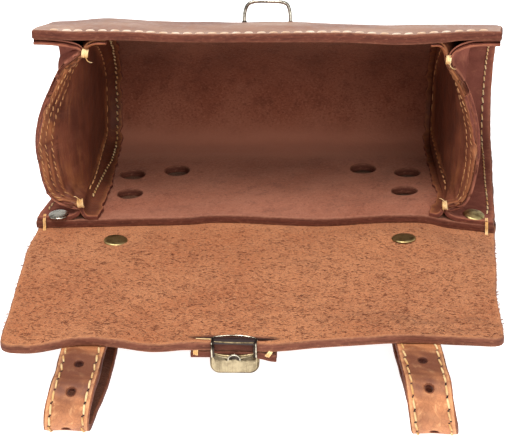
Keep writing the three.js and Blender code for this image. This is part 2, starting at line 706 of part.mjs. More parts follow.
// ---------- assembly ----------
const FINISH = {
  grain: { color: 0x8a4b33, roughness: 0.5, metalness: 0 },
  suede: { color: 0xc8825a, roughness: 0.95, metalness: 0 },
  soft: { color: 0x6e3b26, roughness: 0.45, metalness: 0 },
  strap: { color: 0xb67a58, roughness: 0.6, metalness: 0 },
  brass: { color: 0xb09a64, roughness: 0.35, metalness: 1 },
  nickel: { color: 0xa8a294, roughness: 0.3, metalness: 1 },
};

const bag = new THREE.Group();

function add(name, finish, geometry) {
  const mesh = new THREE.Mesh(geometry, new THREE.MeshStandardMaterial(FINISH[finish]));
  mesh.name = name;
  bag.add(mesh);
}

add("body_wrap", "grain", bodyWrap());
add("back_flap_panel", "suede", backFlapPanel());
for (const side of Object.keys(SIDES)) {
  add(`gusset_outer_${side}`, "soft", gusset(side, 1));
  add(`gusset_inner_${side}`, "soft", gusset(side, -1));
  add(`corner_rivet_${side}`, "brass", cornerRivet(side));
  add(`strap_rivet_${side}`, "brass", strapRivet(side));
  add(`strap_${side}`, "strap", strap(side));
  add(`buckle_tab_${side}`, "strap", buckleTab(side));
  add(`buckle_${side}`, "nickel", buckle(side));
}
add("lock_patch", "grain", lockPatch());
add("lock_body", "brass", lockBody());
add("staple", "nickel", staple());

// Tilt the bag and set it down with the resting plane at z = 0 and its outline centred on the origin.
bag.rotation.x = -REST_TILT;
bag.updateMatrixWorld(true);
const outline = new THREE.Box3().setFromObject(bag, true);
const centre = outline.getCenter(new THREE.Vector3());
bag.position.set(-centre.x, -centre.y, -outline.min.z);

const group = new THREE.Group();
group.add(bag);
group.updateMatrixWorld(true);

export default group;
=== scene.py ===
"""Open leather bicycle bag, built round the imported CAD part.

All shapes are worked out in the bag's own frame, in millimetres: X right, Y from the mouth into the
bag, Z from the back wall up to the front wall. to_row() tilts and places them in the CAD's frame.
"reach" is the distance from the mouth towards the flap's free edge, so reach = -Y.
"""

import math

import bpy
import numpy as np
from mathutils import Matrix, Vector


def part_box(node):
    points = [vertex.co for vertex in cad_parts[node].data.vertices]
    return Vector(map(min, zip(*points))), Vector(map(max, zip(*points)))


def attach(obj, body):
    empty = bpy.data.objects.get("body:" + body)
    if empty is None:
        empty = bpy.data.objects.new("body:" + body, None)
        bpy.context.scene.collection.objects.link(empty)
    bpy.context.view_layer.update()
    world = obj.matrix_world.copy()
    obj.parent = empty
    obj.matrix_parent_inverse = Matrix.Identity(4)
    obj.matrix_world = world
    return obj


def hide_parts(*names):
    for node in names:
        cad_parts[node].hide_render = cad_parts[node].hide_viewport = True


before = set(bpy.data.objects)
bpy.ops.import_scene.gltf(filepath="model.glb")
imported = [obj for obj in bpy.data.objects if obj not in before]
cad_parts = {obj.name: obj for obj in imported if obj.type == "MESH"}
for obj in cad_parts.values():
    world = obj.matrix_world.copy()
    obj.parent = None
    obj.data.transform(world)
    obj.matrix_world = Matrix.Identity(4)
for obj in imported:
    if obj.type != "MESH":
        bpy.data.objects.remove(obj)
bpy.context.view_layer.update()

# ---------- dimensions, as the CAD has them ----------
LEATHER = 3.0
GAP = 0.3
BACK_HALF_WIDTH = 118.0
FRONT_HALF_WIDTH = 115.0
MOUTH_HEIGHT = 103.0
FRONT_SHIFT = 4.0  # how far right of the back wall the front wall stands
PANEL_BACK = 100.0
FLAP_LENGTH = 134.0
FLAP_LIFT = 0.01
REST_TILT = math.radians(5.5)
STRAP_START = 9.0
STRAP_NOSE = 157.0
STRAP_END = 28.0
FIRST_STRAP_HOLE = 137.5
STRAP_HOLE_PITCH = 17.5
BUCKLE_HOLE = 9
RIVET_REACH = 19.0
FLANGE_SHARE = 0.4  # share of a gusset's first unit across that lies flat on the wall
RIM_SETBACK = 1.2
LAYER_SPACING = 2.1
LOCK_X = -5.4
BODY_SECTION = [(0, 103), (22, 101), (46, 96), (74, 84.5), (98, 67), (112, 49), (118, 30), (114, 12),
                (104, 2.5), (92, 0)]
FLARE_DEPTH = 11.0
WEB_LOW, WEB_HIGH = 36.0, 70.0
FLAP_WAVE = [(-113, -2.2), (-97, -2.6), (-73, 2.6), (-40, -2.2), (5, -2.4), (45, 0.6), (78, 2.0), (113, -0.4)]
WAVE_START = 30.0
FLAP_OUTLINE = [(0, 118), (31, 117), (87, 113.5), (134, 112.5)]
FLAP_CORNER = 6.0
EDGE_ZONE = 110.0  # reach from which the sheet follows the free edge's rounded corners
STRAP_SWAY = {
    "left": [(0, -73.8), (50, -73.8), (148, -73.6), (172, -77.6), (186, -77), (212, -74.3), (280, -73.8),
             (320, -73.8)],
    "right": [(0, 71.8), (50, 71.8), (122, 76), (158, 80.4), (180, 83.2), (206, 80.6), (240, 76), (280, 71.8),
              (320, 71.8)],
}
BACK_HOLES = [(73, 33), (75, 60), (51, 66)]
BACK_HOLE_RADIUS = 6.5
FLAT_LOWER_REACH = 92.0
STRAP_EDGE_GAP = 0.8
TAB_THICKNESS = 2.0
BUCKLE_WIRE = 1.8
LOCK_SLIT = {"reach": 129.0, "length": 35.0}
PATCH_BACK = 100.0
STAPLE = {"x": 2.2, "depth": 42.0, "half": 11.7}

# ---------- dimensions of the look alone ----------
WALL = 4.2  # the walls' cut edges, with their fuzz and dressing
EDGE_ROUND = 0.7  # rounding of a cut edge
STRAP_HOLE_RADIUS = 1.55  # 0.45 less than in the CAD
SIGN = {"left": -1, "right": 1}  # the side's direction along X

# ---------- frame ----------
panel_low, panel_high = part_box("back_flap_panel")
ORIGIN = np.array([
    500 * (panel_low.x + panel_high.x),
    1000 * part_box("body_wrap")[0].y,
    PANEL_BACK * math.sin(REST_TILT) + (LEATHER + GAP) * math.cos(REST_TILT),
])
TURN = np.array([
    [1, 0, 0],
    [0, math.cos(REST_TILT), math.sin(REST_TILT)],
    [0, -math.sin(REST_TILT), math.cos(REST_TILT)],
])


def to_row(points):
    """Bag-frame millimetres to row-frame metres."""
    return (np.asarray(points, float) @ TURN.T + ORIGIN) / 1000


# ---------- small helpers ----------
def lerp(a, b, t):
    return a + (b - a) * t


def smooth(x, a, b):
    """Eased step from 0 at a to 1 at b."""
    t = np.clip((np.asarray(x, float) - a) / (b - a), 0, 1)
    return t * t * (3 - 2 * t)


def stack(x, y, z):
    return np.stack(np.broadcast_arrays(x, y, z), -1).astype(float)


def unit(v):
    return v / np.maximum(np.linalg.norm(v, axis=-1, keepdims=True), 1e-12)


def table_curve(rows):
    """Smooth function through the rows of a table of (key, value)."""
    keys, values = np.array(rows, float).T
    last = len(keys) - 1
    index = np.arange(last + 1)
    before, after = np.maximum(index - 1, 0), np.minimum(index + 1, last)
    slopes = (values[after] - values[before]) / (keys[after] - keys[before])

    def at(key):
        k = np.clip(np.asarray(key, float), keys[0], keys[-1])
        i = np.clip(np.searchsorted(keys, k, side="left") - 1, 0, last - 1)
        span = keys[i + 1] - keys[i]
        t = (k - keys[i]) / span
        rise = (values[i + 1] - values[i]) * t * t * (3 - 2 * t)
        bend = span * t * (1 - t) * (slopes[i] * (1 - t) - slopes[i + 1] * t)
        return values[i] + rise + bend

    return at


def ripple(x, y, scale, seed):
    """Smooth repeatable noise between about -1 and 1, with features about scale long."""
    rng = np.random.default_rng(seed)
    total = 0
    for _ in range(6):
        a, b = rng.normal(0, 1, 2)
        total = total + np.sin((a * x + b * y) * 2.6 / scale + rng.uniform(0, 2 * math.pi))
    return total / 3


def steps(start, stop, size):
    """Evenly spaced numbers from start to stop, about size apart."""
    return np.linspace(start, stop, max(2, int(round(abs(stop - start) / size)) + 1))


def arc_of(path):
    """Length along a path at each of its points."""
    return np.concatenate([[0], np.cumsum(np.linalg.norm(np.diff(path, axis=0), axis=1))])


def curve_through(points, count):
    """Catmull-Rom curve through points, with count steps from each to the next."""
    p = np.asarray(points, float)
    ends = np.vstack([2 * p[0] - p[1], p, 2 * p[-1] - p[-2]])
    t = np.linspace(0, 1, count, endpoint=False)[:, None]
    h = t * t * (3 - 2 * t)
    spans = [b + (c - b) * h + 0.5 * (c - a) * t * (1 - t) ** 2 + 0.5 * (d - b) * t * t * (t - 1)
             for a, b, c, d in zip(ends, ends[1:], ends[2:], ends[3:])]
    return np.vstack([*spans, p[-1:]])


def smooth_path(points, count):
    """Curve through points, evenly sampled."""
    curve = curve_through(points, 12)
    arc = arc_of(curve)
    at = np.linspace(0, arc[-1], count)
    return np.stack([np.interp(at, arc, curve[:, c]) for c in range(3)], -1)


def merged_steps(*parts, least=0.25):
    """Sorted numbers of all the parts, without near repeats."""
    values = np.sort(np.concatenate([np.atleast_1d(p) for p in parts]))
    kept = [values[0]]
    for v in values[1:]:
        if v - kept[-1] >= least:
            kept.append(v)
    kept[-1] = values[-1]
    return np.array(kept)


# ---------- meshes ----------
class Piece:
    """Collects the vertices and faces of one piece, in bag-frame millimetres."""

    def __init__(self):
        self.points, self.faces, self.slots, self.uvs, self.wear, self.tone = [], [], [], [], [], []
        self.count = 0

    def add(self, points, faces, slot=0, uv=None, wear=0.0, tone=0.0):
        points = np.asarray(points, float).reshape(-1, 3)
        faces = np.asarray(faces, int)
        n = len(points)
        self.points.append(points)
        self.faces.append(faces + self.count)
        self.slots.append(np.broadcast_to(slot, len(faces)))
        uv = points[:, :2] if uv is None else np.asarray(uv, float).reshape(-1, 2)
        self.uvs.append(uv[faces].reshape(-1, 2) / 1000)
        self.wear.append(np.broadcast_to(np.ravel(wear), n) if np.size(wear) in (1, n) else None)
        self.tone.append(np.broadcast_to(np.ravel(tone), n) if np.size(tone) in (1, n) else None)
        self.count += n

    def add_rings(self, rings, slot=0, uv=None, cap_uv=None, wall_slots=None, tone=0.0):
        """Closed skin over a row of equal rings."""
        rows, sides = rings.shape[:2]
        k, s = (grid.ravel() for grid in np.meshgrid(np.arange(rows - 1), np.arange(sides), indexing="ij"))
        s2 = (s + 1) % sides
        quads = np.stack([k * sides + s, k * sides + s2, (k + 1) * sides + s2, (k + 1) * sides + s], 1)
        first = self.count
        self.add(rings, quads, slot if wall_slots is None else wall_slots, uv, tone=tone)
        for row, way in ((0, -1), (rows - 1, 1)):
            ring = (row * sides + np.arange(sides))[::way]
            fan = np.stack([np.full(sides - 2, ring[0]), ring[1:-1], ring[2:]], 1)
            self.faces.append(fan + first)
            self.slots.append(np.full(len(fan), slot))
            self.uvs.append(np.zeros((fan.size, 2)) if cap_uv is None else cap_uv[fan].reshape(-1, 2) / 1000)

    def build(self, name, materials, replaces=()):
        mesh = bpy.data.meshes.new(name)
        faces = [f for block in self.faces for f in block.tolist()]
        mesh.from_pydata(to_row(np.concatenate(self.points)).tolist(), [], faces)
        mesh.polygons.foreach_set("material_index", np.concatenate(self.slots).astype(np.int32))
        mesh.polygons.foreach_set("use_smooth", np.ones(len(faces), bool))
        layer = mesh.uv_layers.new(name="sheet")
        layer.data.foreach_set("uv", np.concatenate(self.uvs).ravel().astype(np.float32))
        for key, blocks in (("wear", self.wear), ("tone", self.tone)):
            attribute = mesh.attributes.new(key, "FLOAT", "POINT")
            attribute.data.foreach_set("value", np.concatenate(blocks).astype(np.float32))
        for material in materials:
            mesh.materials.append(material)
        mesh.update()
        register(bpy.data.objects.new(name, mesh), replaces)


def register(piece, replaces=()):
    bpy.context.scene.collection.objects.link(piece)
    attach(piece, "root")
    if replaces:
        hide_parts(*replaces)


EDGE_PROFILE = np.radians([90, 68, 45, 22, 0, -22, -45, -68, -90])


def grid_with_holes(us, vs, holes):
    """Grid of u and v bent round its holes, the cells it keeps, and the loops of its border and holes."""
    nu, nv = len(us), len(vs)
    u0, v0 = np.meshgrid(us, vs, indexing="ij")
    u, v = u0.copy(), v0.copy()
    keep = np.ones((nu - 1, nv - 1), bool)
    border = ([(i, 0) for i in range(nu - 1)] + [(nu - 1, j) for j in range(nv - 1)]
              + [(i, nv - 1) for i in range(nu - 1, 0, -1)] + [(0, j) for j in range(nv - 1, 0, -1)])
    loops = [(np.array(border), None)]
    for hu, hv, radius in holes:
        ru, rv = np.broadcast_to(radius, 2)
        i0, i1 = (int(np.abs(us - (hu + s * ru)).argmin()) for s in (-1, 1))
        j0, j1 = (int(np.abs(vs - (hv + s * rv)).argmin()) for s in (-1, 1))
        keep[i0:i1, j0:j1] = False
        cu, cv = (us[i0] + us[i1]) / 2, (vs[j0] + vs[j1]) / 2
        xi, eta = (u0 - cu) / ((us[i1] - us[i0]) / 2), (v0 - cv) / ((vs[j1] - vs[j0]) / 2)
        rho = np.maximum(np.abs(xi), np.abs(eta))
        scale = rho / np.maximum(np.hypot(xi, eta), 1e-9)
        share = 1 - smooth(rho, 1, 1.8)
        u = lerp(u, hu + xi * scale * ru, share)
        v = lerp(v, hv + eta * scale * rv, share)
        ring = ([(i0, j) for j in range(j0, j1)] + [(i, j1) for i in range(i0, i1)]
                + [(i1, j) for j in range(j1, j0, -1)] + [(i, j0) for i in range(i1, i0, -1)])
        loops.append((np.array(ring), (hu, hv, ru, rv)))
    return u, v, keep, loops


def leather(piece, us, vs, place, thick, holes=(), slots=(0, 1, 2), eps=(0.05, 0.05), rounding=EDGE_ROUND,
            front_relief=None, back_relief=None, tone=None, back_tone=None, edge_noise=0.12, uv=None, seed=1):
    """Thick sheet about the mid-surface place(u, v), with round-edged holes (u, v, radius along u and v).

    The front is the side that u x v points to. slots are the materials of front, back and cut edge.
    """
    nu, nv = len(us), len(vs)
    u, v, keep, loops = grid_with_holes(us, vs, holes)
    points = place(u, v)
    along_u = place(u + eps[0], v) - place(u - eps[0], v)
    along_v = place(u, v + eps[1]) - place(u, v - eps[1])
    normal = unit(np.cross(along_u, along_v))
    dir_u, dir_v = unit(along_u), unit(along_v)
    half = np.broadcast_to(thick(u, v) if callable(thick) else thick, u.shape) / 2
    up = half + (front_relief(u, v) if front_relief else 0)
    down = half + (back_relief(u, v) if back_relief else 0)
    tone = np.broadcast_to(0.0 if tone is None else tone(u, v), u.shape)
    back_tone = np.broadcast_to(tone if back_tone is None else back_tone(u, v), u.shape)
    flat = np.stack([u, v], -1) if uv is None else uv(u, v)

    front = points + normal * up[..., None]
    back = points - normal * down[..., None]
    outward = []
    for ring, hole in loops:
        i, j = ring.T
        if hole is None:
            du = (i == nu - 1).astype(float) - (i == 0)
            dv = (j == nv - 1).astype(float) - (j == 0)
        else:
            du, dv = (hole[0] - u[i, j]) / hole[2] ** 2, (hole[1] - v[i, j]) / hole[3] ** 2
            du, dv = du / np.hypot(du, dv), dv / np.hypot(du, dv)
        out = unit(dir_u[i, j] * du[:, None] + dir_v[i, j] * dv[:, None])
        out = unit(out - normal[i, j] * (out * normal[i, j]).sum(-1, keepdims=True))
        corner = np.hypot(du, dv)[:, None] if hole is None else 1.0
        front[i, j] -= out * rounding * corner
        back[i, j] -= out * rounding * corner
        outward.append(out * corner)
    used = np.zeros((nu, nv), bool)
    for a in (0, 1):
        for b in (0, 1):
            used[a:nu - 1 + a, b:nv - 1 + b] |= keep
    index = -np.ones((nu, nv), int)
    index[used] = np.arange(used.sum())
    base = piece.count
    total = int(used.sum())
    borders = (points[:1], points[-1:], points[:, :1], points[:, -1:])
    reach_in = np.minimum.reduce([np.linalg.norm(points - line, axis=-1) for line in borders])
    wear = np.clip(1 - reach_in / 2.5, 0, 1)[used]
    i, j = np.nonzero(keep)
    quad = np.stack([index[i, j], index[i + 1, j], index[i + 1, j + 1], index[i, j + 1]], 1)
    piece.add(front[used], quad, slots[0], flat[used], wear, tone[used])
    piece.add(back[used], quad[:, ::-1], slots[1], flat[used], wear, back_tone[used])

    cos, sin = np.cos(EDGE_PROFILE), np.sin(EDGE_PROFILE)
    outs = rounding * (np.abs(cos) ** 0.5 - 1)
    rises = np.sign(sin) * np.abs(sin) ** 0.5
    inner = slice(1, len(EDGE_PROFILE) - 1)
    for (ring, hole), out in zip(loops, outward):
        i, j = ring.T
        n = len(ring)
        here = points[i, j]
        arc = arc_of(here)
        mid, span = (up[i, j] - down[i, j]) / 2, (up[i, j] + down[i, j]) / 2
        push = (edge_noise * ripple(arc, 0 * arc, 7, seed)
                + edge_noise * 0.6 * ripple(arc, 0 * arc, 2.2, seed + 1))
        rings = []
        for k in range(len(EDGE_PROFILE)):
            shift = outs[k] + push * abs(cos[k])
            rings.append(here + out * shift[:, None] + normal[i, j] * (mid + span * rises[k])[:, None])
        body = np.concatenate(rings[inner])
        local = np.arange(n)
        following = (local + 1) % n
        rows = [base + index[i, j]] + [piece.count + k * n + local for k in range(len(rings) - 2)]
        rows.append(base + total + index[i, j])
        arc_next = np.append(arc[1:], arc[-1] + np.linalg.norm(here[0] - here[-1]))
        for k in range(len(rings) - 1):
            top, low = rows[k], rows[k + 1]
            piece.faces.append(np.stack([top[following], top[local], low[local], low[following]], 1))
            piece.slots.append(np.full(n, slots[2]))
            high, low = rises[k] * span, rises[k + 1] * span
            piece.uvs.append(np.stack([
                np.stack([arc_next, high[following]], -1), np.stack([arc, high], -1),
                np.stack([arc, low], -1), np.stack([arc_next, low[following]], -1),
            ], 1).reshape(-1, 2) / 1000)
        worn = np.abs(rises[inner])[:, None] * np.ones(n)
        piece.points.append(body)
        piece.wear.append(np.clip(worn, 0, 1).ravel() ** 4)
        piece.tone.append(np.tile(tone[i, j], len(rings) - 2))
        piece.count += len(body)


def tube(piece, path, radius, sides=12, slot=0):
    """Round wire along a path; radius may change along it."""
    path = np.asarray(path, float)
    n = len(path)
    ahead = np.roll(path, -1, 0) - np.roll(path, 1, 0)
    ahead[0], ahead[-1] = path[1] - path[0], path[-1] - path[-2]
    tangent = unit(ahead)
    side = np.zeros_like(path)
    start = np.array([0.0, 0.0, 1.0]) if abs(tangent[0, 2]) < 0.9 else np.array([1.0, 0.0, 0.0])
    side[0] = unit(np.cross(tangent[0], start))
    for k in range(1, n):
        side[k] = unit(side[k - 1] - tangent[k] * (side[k - 1] @ tangent[k]))
    other = np.cross(tangent, side)
    turn = np.linspace(0, 2 * math.pi, sides, endpoint=False)
    radius = np.broadcast_to(radius, n)
    rings = path[:, None] + radius[:, None, None] * (
        np.cos(turn)[None, :, None] * side[:, None] + np.sin(turn)[None, :, None] * other[:, None])
    uv = np.stack(np.broadcast_arrays(arc_of(path)[:, None], turn[None] * radius.max()), -1)
    piece.add_rings(rings, slot, uv, uv.reshape(-1, 2))


def lathe(piece, profile, sides=40):
    """Turns a profile of (radius, height) about the Z axis, first row at the bottom."""
    radius, height = np.array(profile, float).T
    turn = np.linspace(0, 2 * math.pi, sides, endpoint=False)
    rings = stack(radius[:, None] * np.cos(turn), radius[:, None] * np.sin(turn), height[:, None])
    piece.add_rings(rings, cap_uv=rings.reshape(-1, 3)[:, :2])


STITCH_SHAPE = [(-1.0, 0.0, 0.35), (-0.88, 0.55, 0.8), (-0.5, 0.9, 1.0), (0.0, 1.0, 1.05), (0.5, 0.9, 1.0),
                (0.88, 0.55, 0.8), (1.0, 0.0, 0.35)]


def stitches(piece, path, normal, pitch, radius, lift=0.42, slant=0.25, gap=1.0, seed=3, slots=(0, 1),
             pits=True):
    """Row of thread stitches along a path on a surface, with a boss in painted shade at each end that stands
    in for the needle hole.
    """
    path, normal = np.asarray(path, float), np.asarray(normal, float)
    arc = arc_of(path)
    count = max(1, int(arc[-1] / pitch))
    pitch = arc[-1] / count
    rng = np.random.default_rng(seed)
    sides = 6
    turn = np.linspace(0, 2 * math.pi, sides, endpoint=False)

    def on_path(at):
        p = np.stack([np.interp(at, arc, path[:, c]) for c in range(3)], -1)
        q = unit(np.stack([np.interp(at, arc, normal[:, c]) for c in range(3)], -1))
        return p, q

    for n in range(count):
        centre = (n + 0.5) * pitch + rng.normal(0, 0.12)
        half = (pitch - gap) / 2 * rng.uniform(0.93, 1.04)
        lean = slant + rng.normal(0, 0.12)
        shape = np.array(STITCH_SHAPE)
        p, q = on_path(centre + shape[:, 0] * half)
        tangent = unit(np.gradient(p, axis=0))
        side = unit(np.cross(q, tangent))
        p = p + q * (shape[:, 1:2] * lift - 0.12) + side * (shape[:, :1] * lean)
        r = radius * shape[:, 2] * rng.uniform(0.92, 1.06)
        rings = p[:, None] + r[:, None, None] * (
            np.cos(turn)[None, :, None] * side[:, None] + np.sin(turn)[None, :, None] * q[:, None])
        uv = np.stack(np.broadcast_arrays(shape[:, :1] * half, turn[None]), -1)
        piece.add_rings(rings, slots[0], uv, tone=rng.uniform(-1, 1))
        if pits:
            for end in (-1, 1):
                c, q1 = on_path(np.array([centre + end * (half + 0.25)]))
                t1 = unit(on_path(np.array([centre + 0.3]))[0] - on_path(np.array([centre - 0.3]))[0])
                pit(piece, c[0] + np.cross(q1[0], t1[0]) * lean * end, q1[0], t1[0], 0.55, slots[1])


def pit(piece, centre, normal, tangent, radius, slot):
    """Shallow boss in painted shade that reads as a needle hole."""
    sides, height = 8, 0.1
    side = np.cross(normal, tangent)
    turn = np.linspace(0, 2 * math.pi, sides, endpoint=False)
    ring = centre + radius * (np.cos(turn)[:, None] * tangent + 0.85 * np.sin(turn)[:, None] * side)
    points = np.vstack([ring, centre + normal * height, centre - normal * height * 2])
    faces = [[s, (s + 1) % sides, sides] for s in range(sides)]
    faces += [[(s + 1) % sides, s, sides + 1] for s in range(sides)]
    piece.add(points, np.array(faces), slot)


# ---------- shape of the body ----------
def dense_section():
    """The body strip's outside at mid width: a smooth curve through the table, then the flat back wall."""
    curve = curve_through(BODY_SECTION, 60)
    return np.vstack([curve, lerp(curve[-1], np.array([0.0, 0.0]), np.linspace(0, 1, 200)[1:, None])])


SECTION = dense_section()
SECTION_ARC = arc_of(SECTION)
SECTION_LENGTH = SECTION_ARC[-1]
SECTION_TANGENT = unit(np.gradient(SECTION, SECTION_ARC, axis=0))


def section(s, inwards):
    """Depth and height on the section at a distance s along it, moved inwards."""
    depth, height = (np.interp(s, SECTION_ARC, SECTION[:, c]) for c in range(2))
    ty, tz = (np.interp(s, SECTION_ARC, SECTION_TANGENT[:, c]) for c in range(2))
    size = np.hypot(ty, tz)
    return depth + inwards * tz / size, height - inwards * ty / size


def half_width(height):
    return lerp(BACK_HALF_WIDTH, FRONT_HALF_WIDTH, np.clip(height / MOUTH_HEIGHT, 0, 1))


def shift(height):
    return FRONT_SHIFT * np.maximum(height, 0) / MOUTH_HEIGHT


HINGE_WAVE = table_curve([(-118, -1.9), (-102, -1.6), (-86, -1.2), (-65, -0.65), (-41, -0.1), (-28, 0.95),
                          (-12, 1.0), (6.7, 0), (27, -0.8), (42, -0.35), (52, 0.6), (68, 1.25), (84, 0.85),
                          (94, -1.6), (113, -4.0), (118, -4.6)])
FRONT_SAG = table_curve([(-118, 2.6), (-107, 2.3), (-93, 1.4), (-75, 1.3), (-60, 0.8), (-40, -0.3),
                         (4, -0.2), (42, 0.0), (53, -0.6), (70, -1.3), (87, -0.6), (102, 0.15), (113, 0.3),
                         (118, 0.2)])
FRONT_CROWN = table_curve([(-118, -0.6), (-95, 0.6), (-82, 1.0), (-68, 0.2), (-56, -1.2), (-33, -1.5),
                           (-7, -1.65), (13, -2.0), (30, -2.75), (67, -3.9), (88, -3.7), (118, -5.3)])
FLAP_RISE = table_curve([(-118, 1.3), (-95, 1.5), (-80, 0.8), (-73, 0.6), (-64, 0.8), (-55, 1.3),
                         (-44, 1.6), (-36, 2.4), (-28, 3.5), (-5, 3.6), (13, 2.5), (25, 2.8), (40, 3.0),
                         (76, 3.1), (90, 3.0), (100, 3.4), (118, 3.7)])


def settle(p):
    """Waves and skew of the old leather, the same for everything that lies at a place."""
    x, y, z = p[..., 0], p[..., 1], p[..., 2]
    off_hinge = np.maximum(np.abs(y) - 4, 0) / 26
    near_hinge = np.exp(-off_hinge ** 2) * (1 - smooth(z, 8, 40)) * smooth(z, -14, -7)
    front = smooth(z, 70, 100) * np.exp(-(np.maximum(y, 0) / 22) ** 2)
    crown = smooth(z, 70, 92) * np.exp(-((y - 48) / 26) ** 2)
    lifted = np.clip(-y / FLAP_LENGTH, 0, 1.1) ** 2 * smooth(z, -22, -13)
    out = np.array(p, float)
    out[..., 2] += (HINGE_WAVE(x) * near_hinge + FRONT_SAG(x) * front + FRONT_CROWN(x) * crown
                    + FLAP_RISE(x) * lifted)
    out[..., 0] += ((3.4 * smooth(y, 15, 108) + 1.3 * smooth(y, 2, 14)) * smooth(x, 99, 116)
                    + 3.6 * smooth(y, 2, 30) * smooth(-x, 100, 116))
    out[..., 0] -= 1.6 * smooth(-x, 100, 118) * front
    out[..., 0] += 1.4 * smooth(x, 96, 116) * np.clip(-y / FLAP_LENGTH, 0, 1)
    return out


def wrap_place(s, v):
    depth, height = section(s, WALL / 2)
    x = shift(height) + v / BACK_HALF_WIDTH * half_width(height)
    p = stack(x, depth, height)
    inside = 0.5 * ripple(v, s, 60, 11) + 0.22 * ripple(v, s, 22, 12)
    calm = np.clip(np.minimum(s, SECTION_LENGTH - s) / 14, 0, 1)
    depth2, height2 = section(s, WALL / 2 + 1)
    p += stack(0 * x, depth2 - depth, height2 - height) * (inside * calm)[..., None]
    return settle(p)




def front_wall_at(depth):
    """Point and outside normal of the front wall's outside at a depth."""
    s = float(np.interp(depth, SECTION[:260, 0], SECTION_ARC[:260]))
    y, z = section(s, 0)
    y1, z1 = section(s, -1)
    return np.array([0.0, y, z]), unit(np.array([0.0, y1 - y, z1 - z]))


# ---------- shape of the panel and the flap ----------
flap_wave = table_curve(FLAP_WAVE)
flap_half = table_curve(FLAP_OUTLINE)


def panel_height(x, reach):
    """Height of the CAD panel's middle surface."""
    wavy = np.clip((reach - WAVE_START) / (FLAP_LENGTH - WAVE_START), 0, 1.15)
    return -GAP - LEATHER / 2 + FLAP_LIFT * np.maximum(reach, 0) + flap_wave(x) * wavy * wavy


def free_edge(x):
    past = np.clip((np.abs(x) - (flap_half(FLAP_LENGTH) - FLAP_CORNER)) / FLAP_CORNER, 0, 0.97)
    return FLAP_LENGTH - FLAP_CORNER * (1 - np.sqrt(1 - past * past))


def panel_place(reach, v):
    """v runs from -118 to 118 across the panel, reach towards the free edge."""
    x = v / BACK_HALF_WIDTH * flap_half(np.maximum(reach, 0))
    share = np.clip((reach - EDGE_ZONE) / (FLAP_LENGTH - EDGE_ZONE), 0, 1.2)
    r = reach - share * (FLAP_LENGTH - free_edge(x))
    z = panel_height(x, r)
    z = z + 0.25 * ripple(x, r, 30, 21) * smooth(r, 4, 30)
    x = x + 0.7 * ripple(r, 0 * r, 45, 22) * smooth(np.abs(v), 60, 118)
    return settle(stack(x, -r, z))


# ---------- shape of the folding sides ----------
# The look's own rim: X of the folded sides at the mouth by height, measured from the middle of the bag.
RIM_X = {
    "left": table_curve([(8.5, 93.6), (10, 94.6), (11.4, 97.6), (12.8, 103), (15.3, 107.6), (19, 110.8),
                         (25, 113.2), (35, 115.1), (44, 115.9), (52.3, 115.1), (62.2, 112.4),
                         (70.5, 108.8), (79.3, 104.4), (84.9, 100.6), (89.5, 94.6), (92, 91.4),
                         (97, 90.2)]),
    "right": table_curve([(8, 92), (9.8, 92.6), (11.2, 95.5), (13, 100.5), (18.7, 104.2), (29.8, 106.4),
                          (42.6, 106.7), (55, 104.9), (67.3, 101.2), (76.8, 97), (84, 92), (88, 90),
                          (95, 89.2)]),
}
WEB_X = {
    "left": table_curve([(0, 95), (12, 94.8), (26, 94.4), (50, 95.4), (77, 96.6), (95, 97.2), (104, 98),
                         (113, 100), (120, 100.6)]),
    "right": table_curve([(0, 93), (14, 95), (27, 96), (45, 94.8), (70, 93.4), (95, 92), (105, 92),
                          (113, 93.6), (120, 94)]),
}
# Heights of the ties above the walls (front wall, middle, back wall), widths of the bends and of the inner
# flange, and how far the outer layer swells behind the upper tie.
LEAF = {
    "left": {"ties": (5.8, 9.0, 6.0), "bend": (17.0, 7.0, 7.5), "inner_bend": (6.0, 5.0, 4.5), "flange": 5.0,
             "swell": 7.0},
    "right": {"ties": (9.5, 9.0, 5.2), "bend": (15.0, 8.0, 9.0), "inner_bend": (5.0, 2.6, 4.0), "flange": 3.4,
              "swell": 3.0},
}


def along_section(values, s):
    """Blend of three values: at the front wall's mouth, in the middle, and at the back wall's mouth."""
    first, middle, last = values
    share = np.clip(s, 0, SECTION_LENGTH)
    early = lerp(first, middle, smooth(share, 2, 34))
    return lerp(early, last, smooth(share, SECTION_LENGTH - 34, SECTION_LENGTH - 2))


def web_at(side, depth, height):
    flare = RIM_X[side](height) - WEB_X[side](RIM_SETBACK)
    return WEB_X[side](depth) + flare * np.exp(-np.maximum(depth - RIM_SETBACK, 0) / FLARE_DEPTH)


def web_normal(side, depth, height):
    step = 0.4
    slope_y = (web_at(side, depth + step, height) - web_at(side, depth - step, height)) / (2 * step)
    slope_z = (web_at(side, depth, height + step) - web_at(side, depth, height - step)) / (2 * step)
    return unit(stack(1.0, -slope_y, -slope_z))


def web_point(side, layer, depth, height, above=0.0):
    """Point of a layer's middle surface, or above it on the side that shows."""
    away = np.asarray(layer * (LAYER_SPACING / 2 + above))[..., None]
    return stack(web_at(side, depth, height), depth, height) + web_normal(side, depth, height) * away


def mirrored(side, p):
    p = np.array(p, float)
    p[..., 0] = SIGN[side] * p[..., 0] + shift(p[..., 2])
    return settle(p)


def soft_thickness(layer):
    """Thickness of a gusset layer; the outer one is stiff and thick where its flange meets the mouth."""
    def thickness(s, across):
        ends = np.exp(-(s / 7) ** 2) + np.exp(-((SECTION_LENGTH - s) / 7) ** 2)
        flange = 1 - smooth(across, 0.5, 1.1)
        back = smooth(s, SECTION_LENGTH - 60, SECTION_LENGTH - 30)
        return 2.0 + (1.3 if layer > 0 else 0.6) * ends * flange * (1 - 0.9 * back) + 0 * across
    return thickness


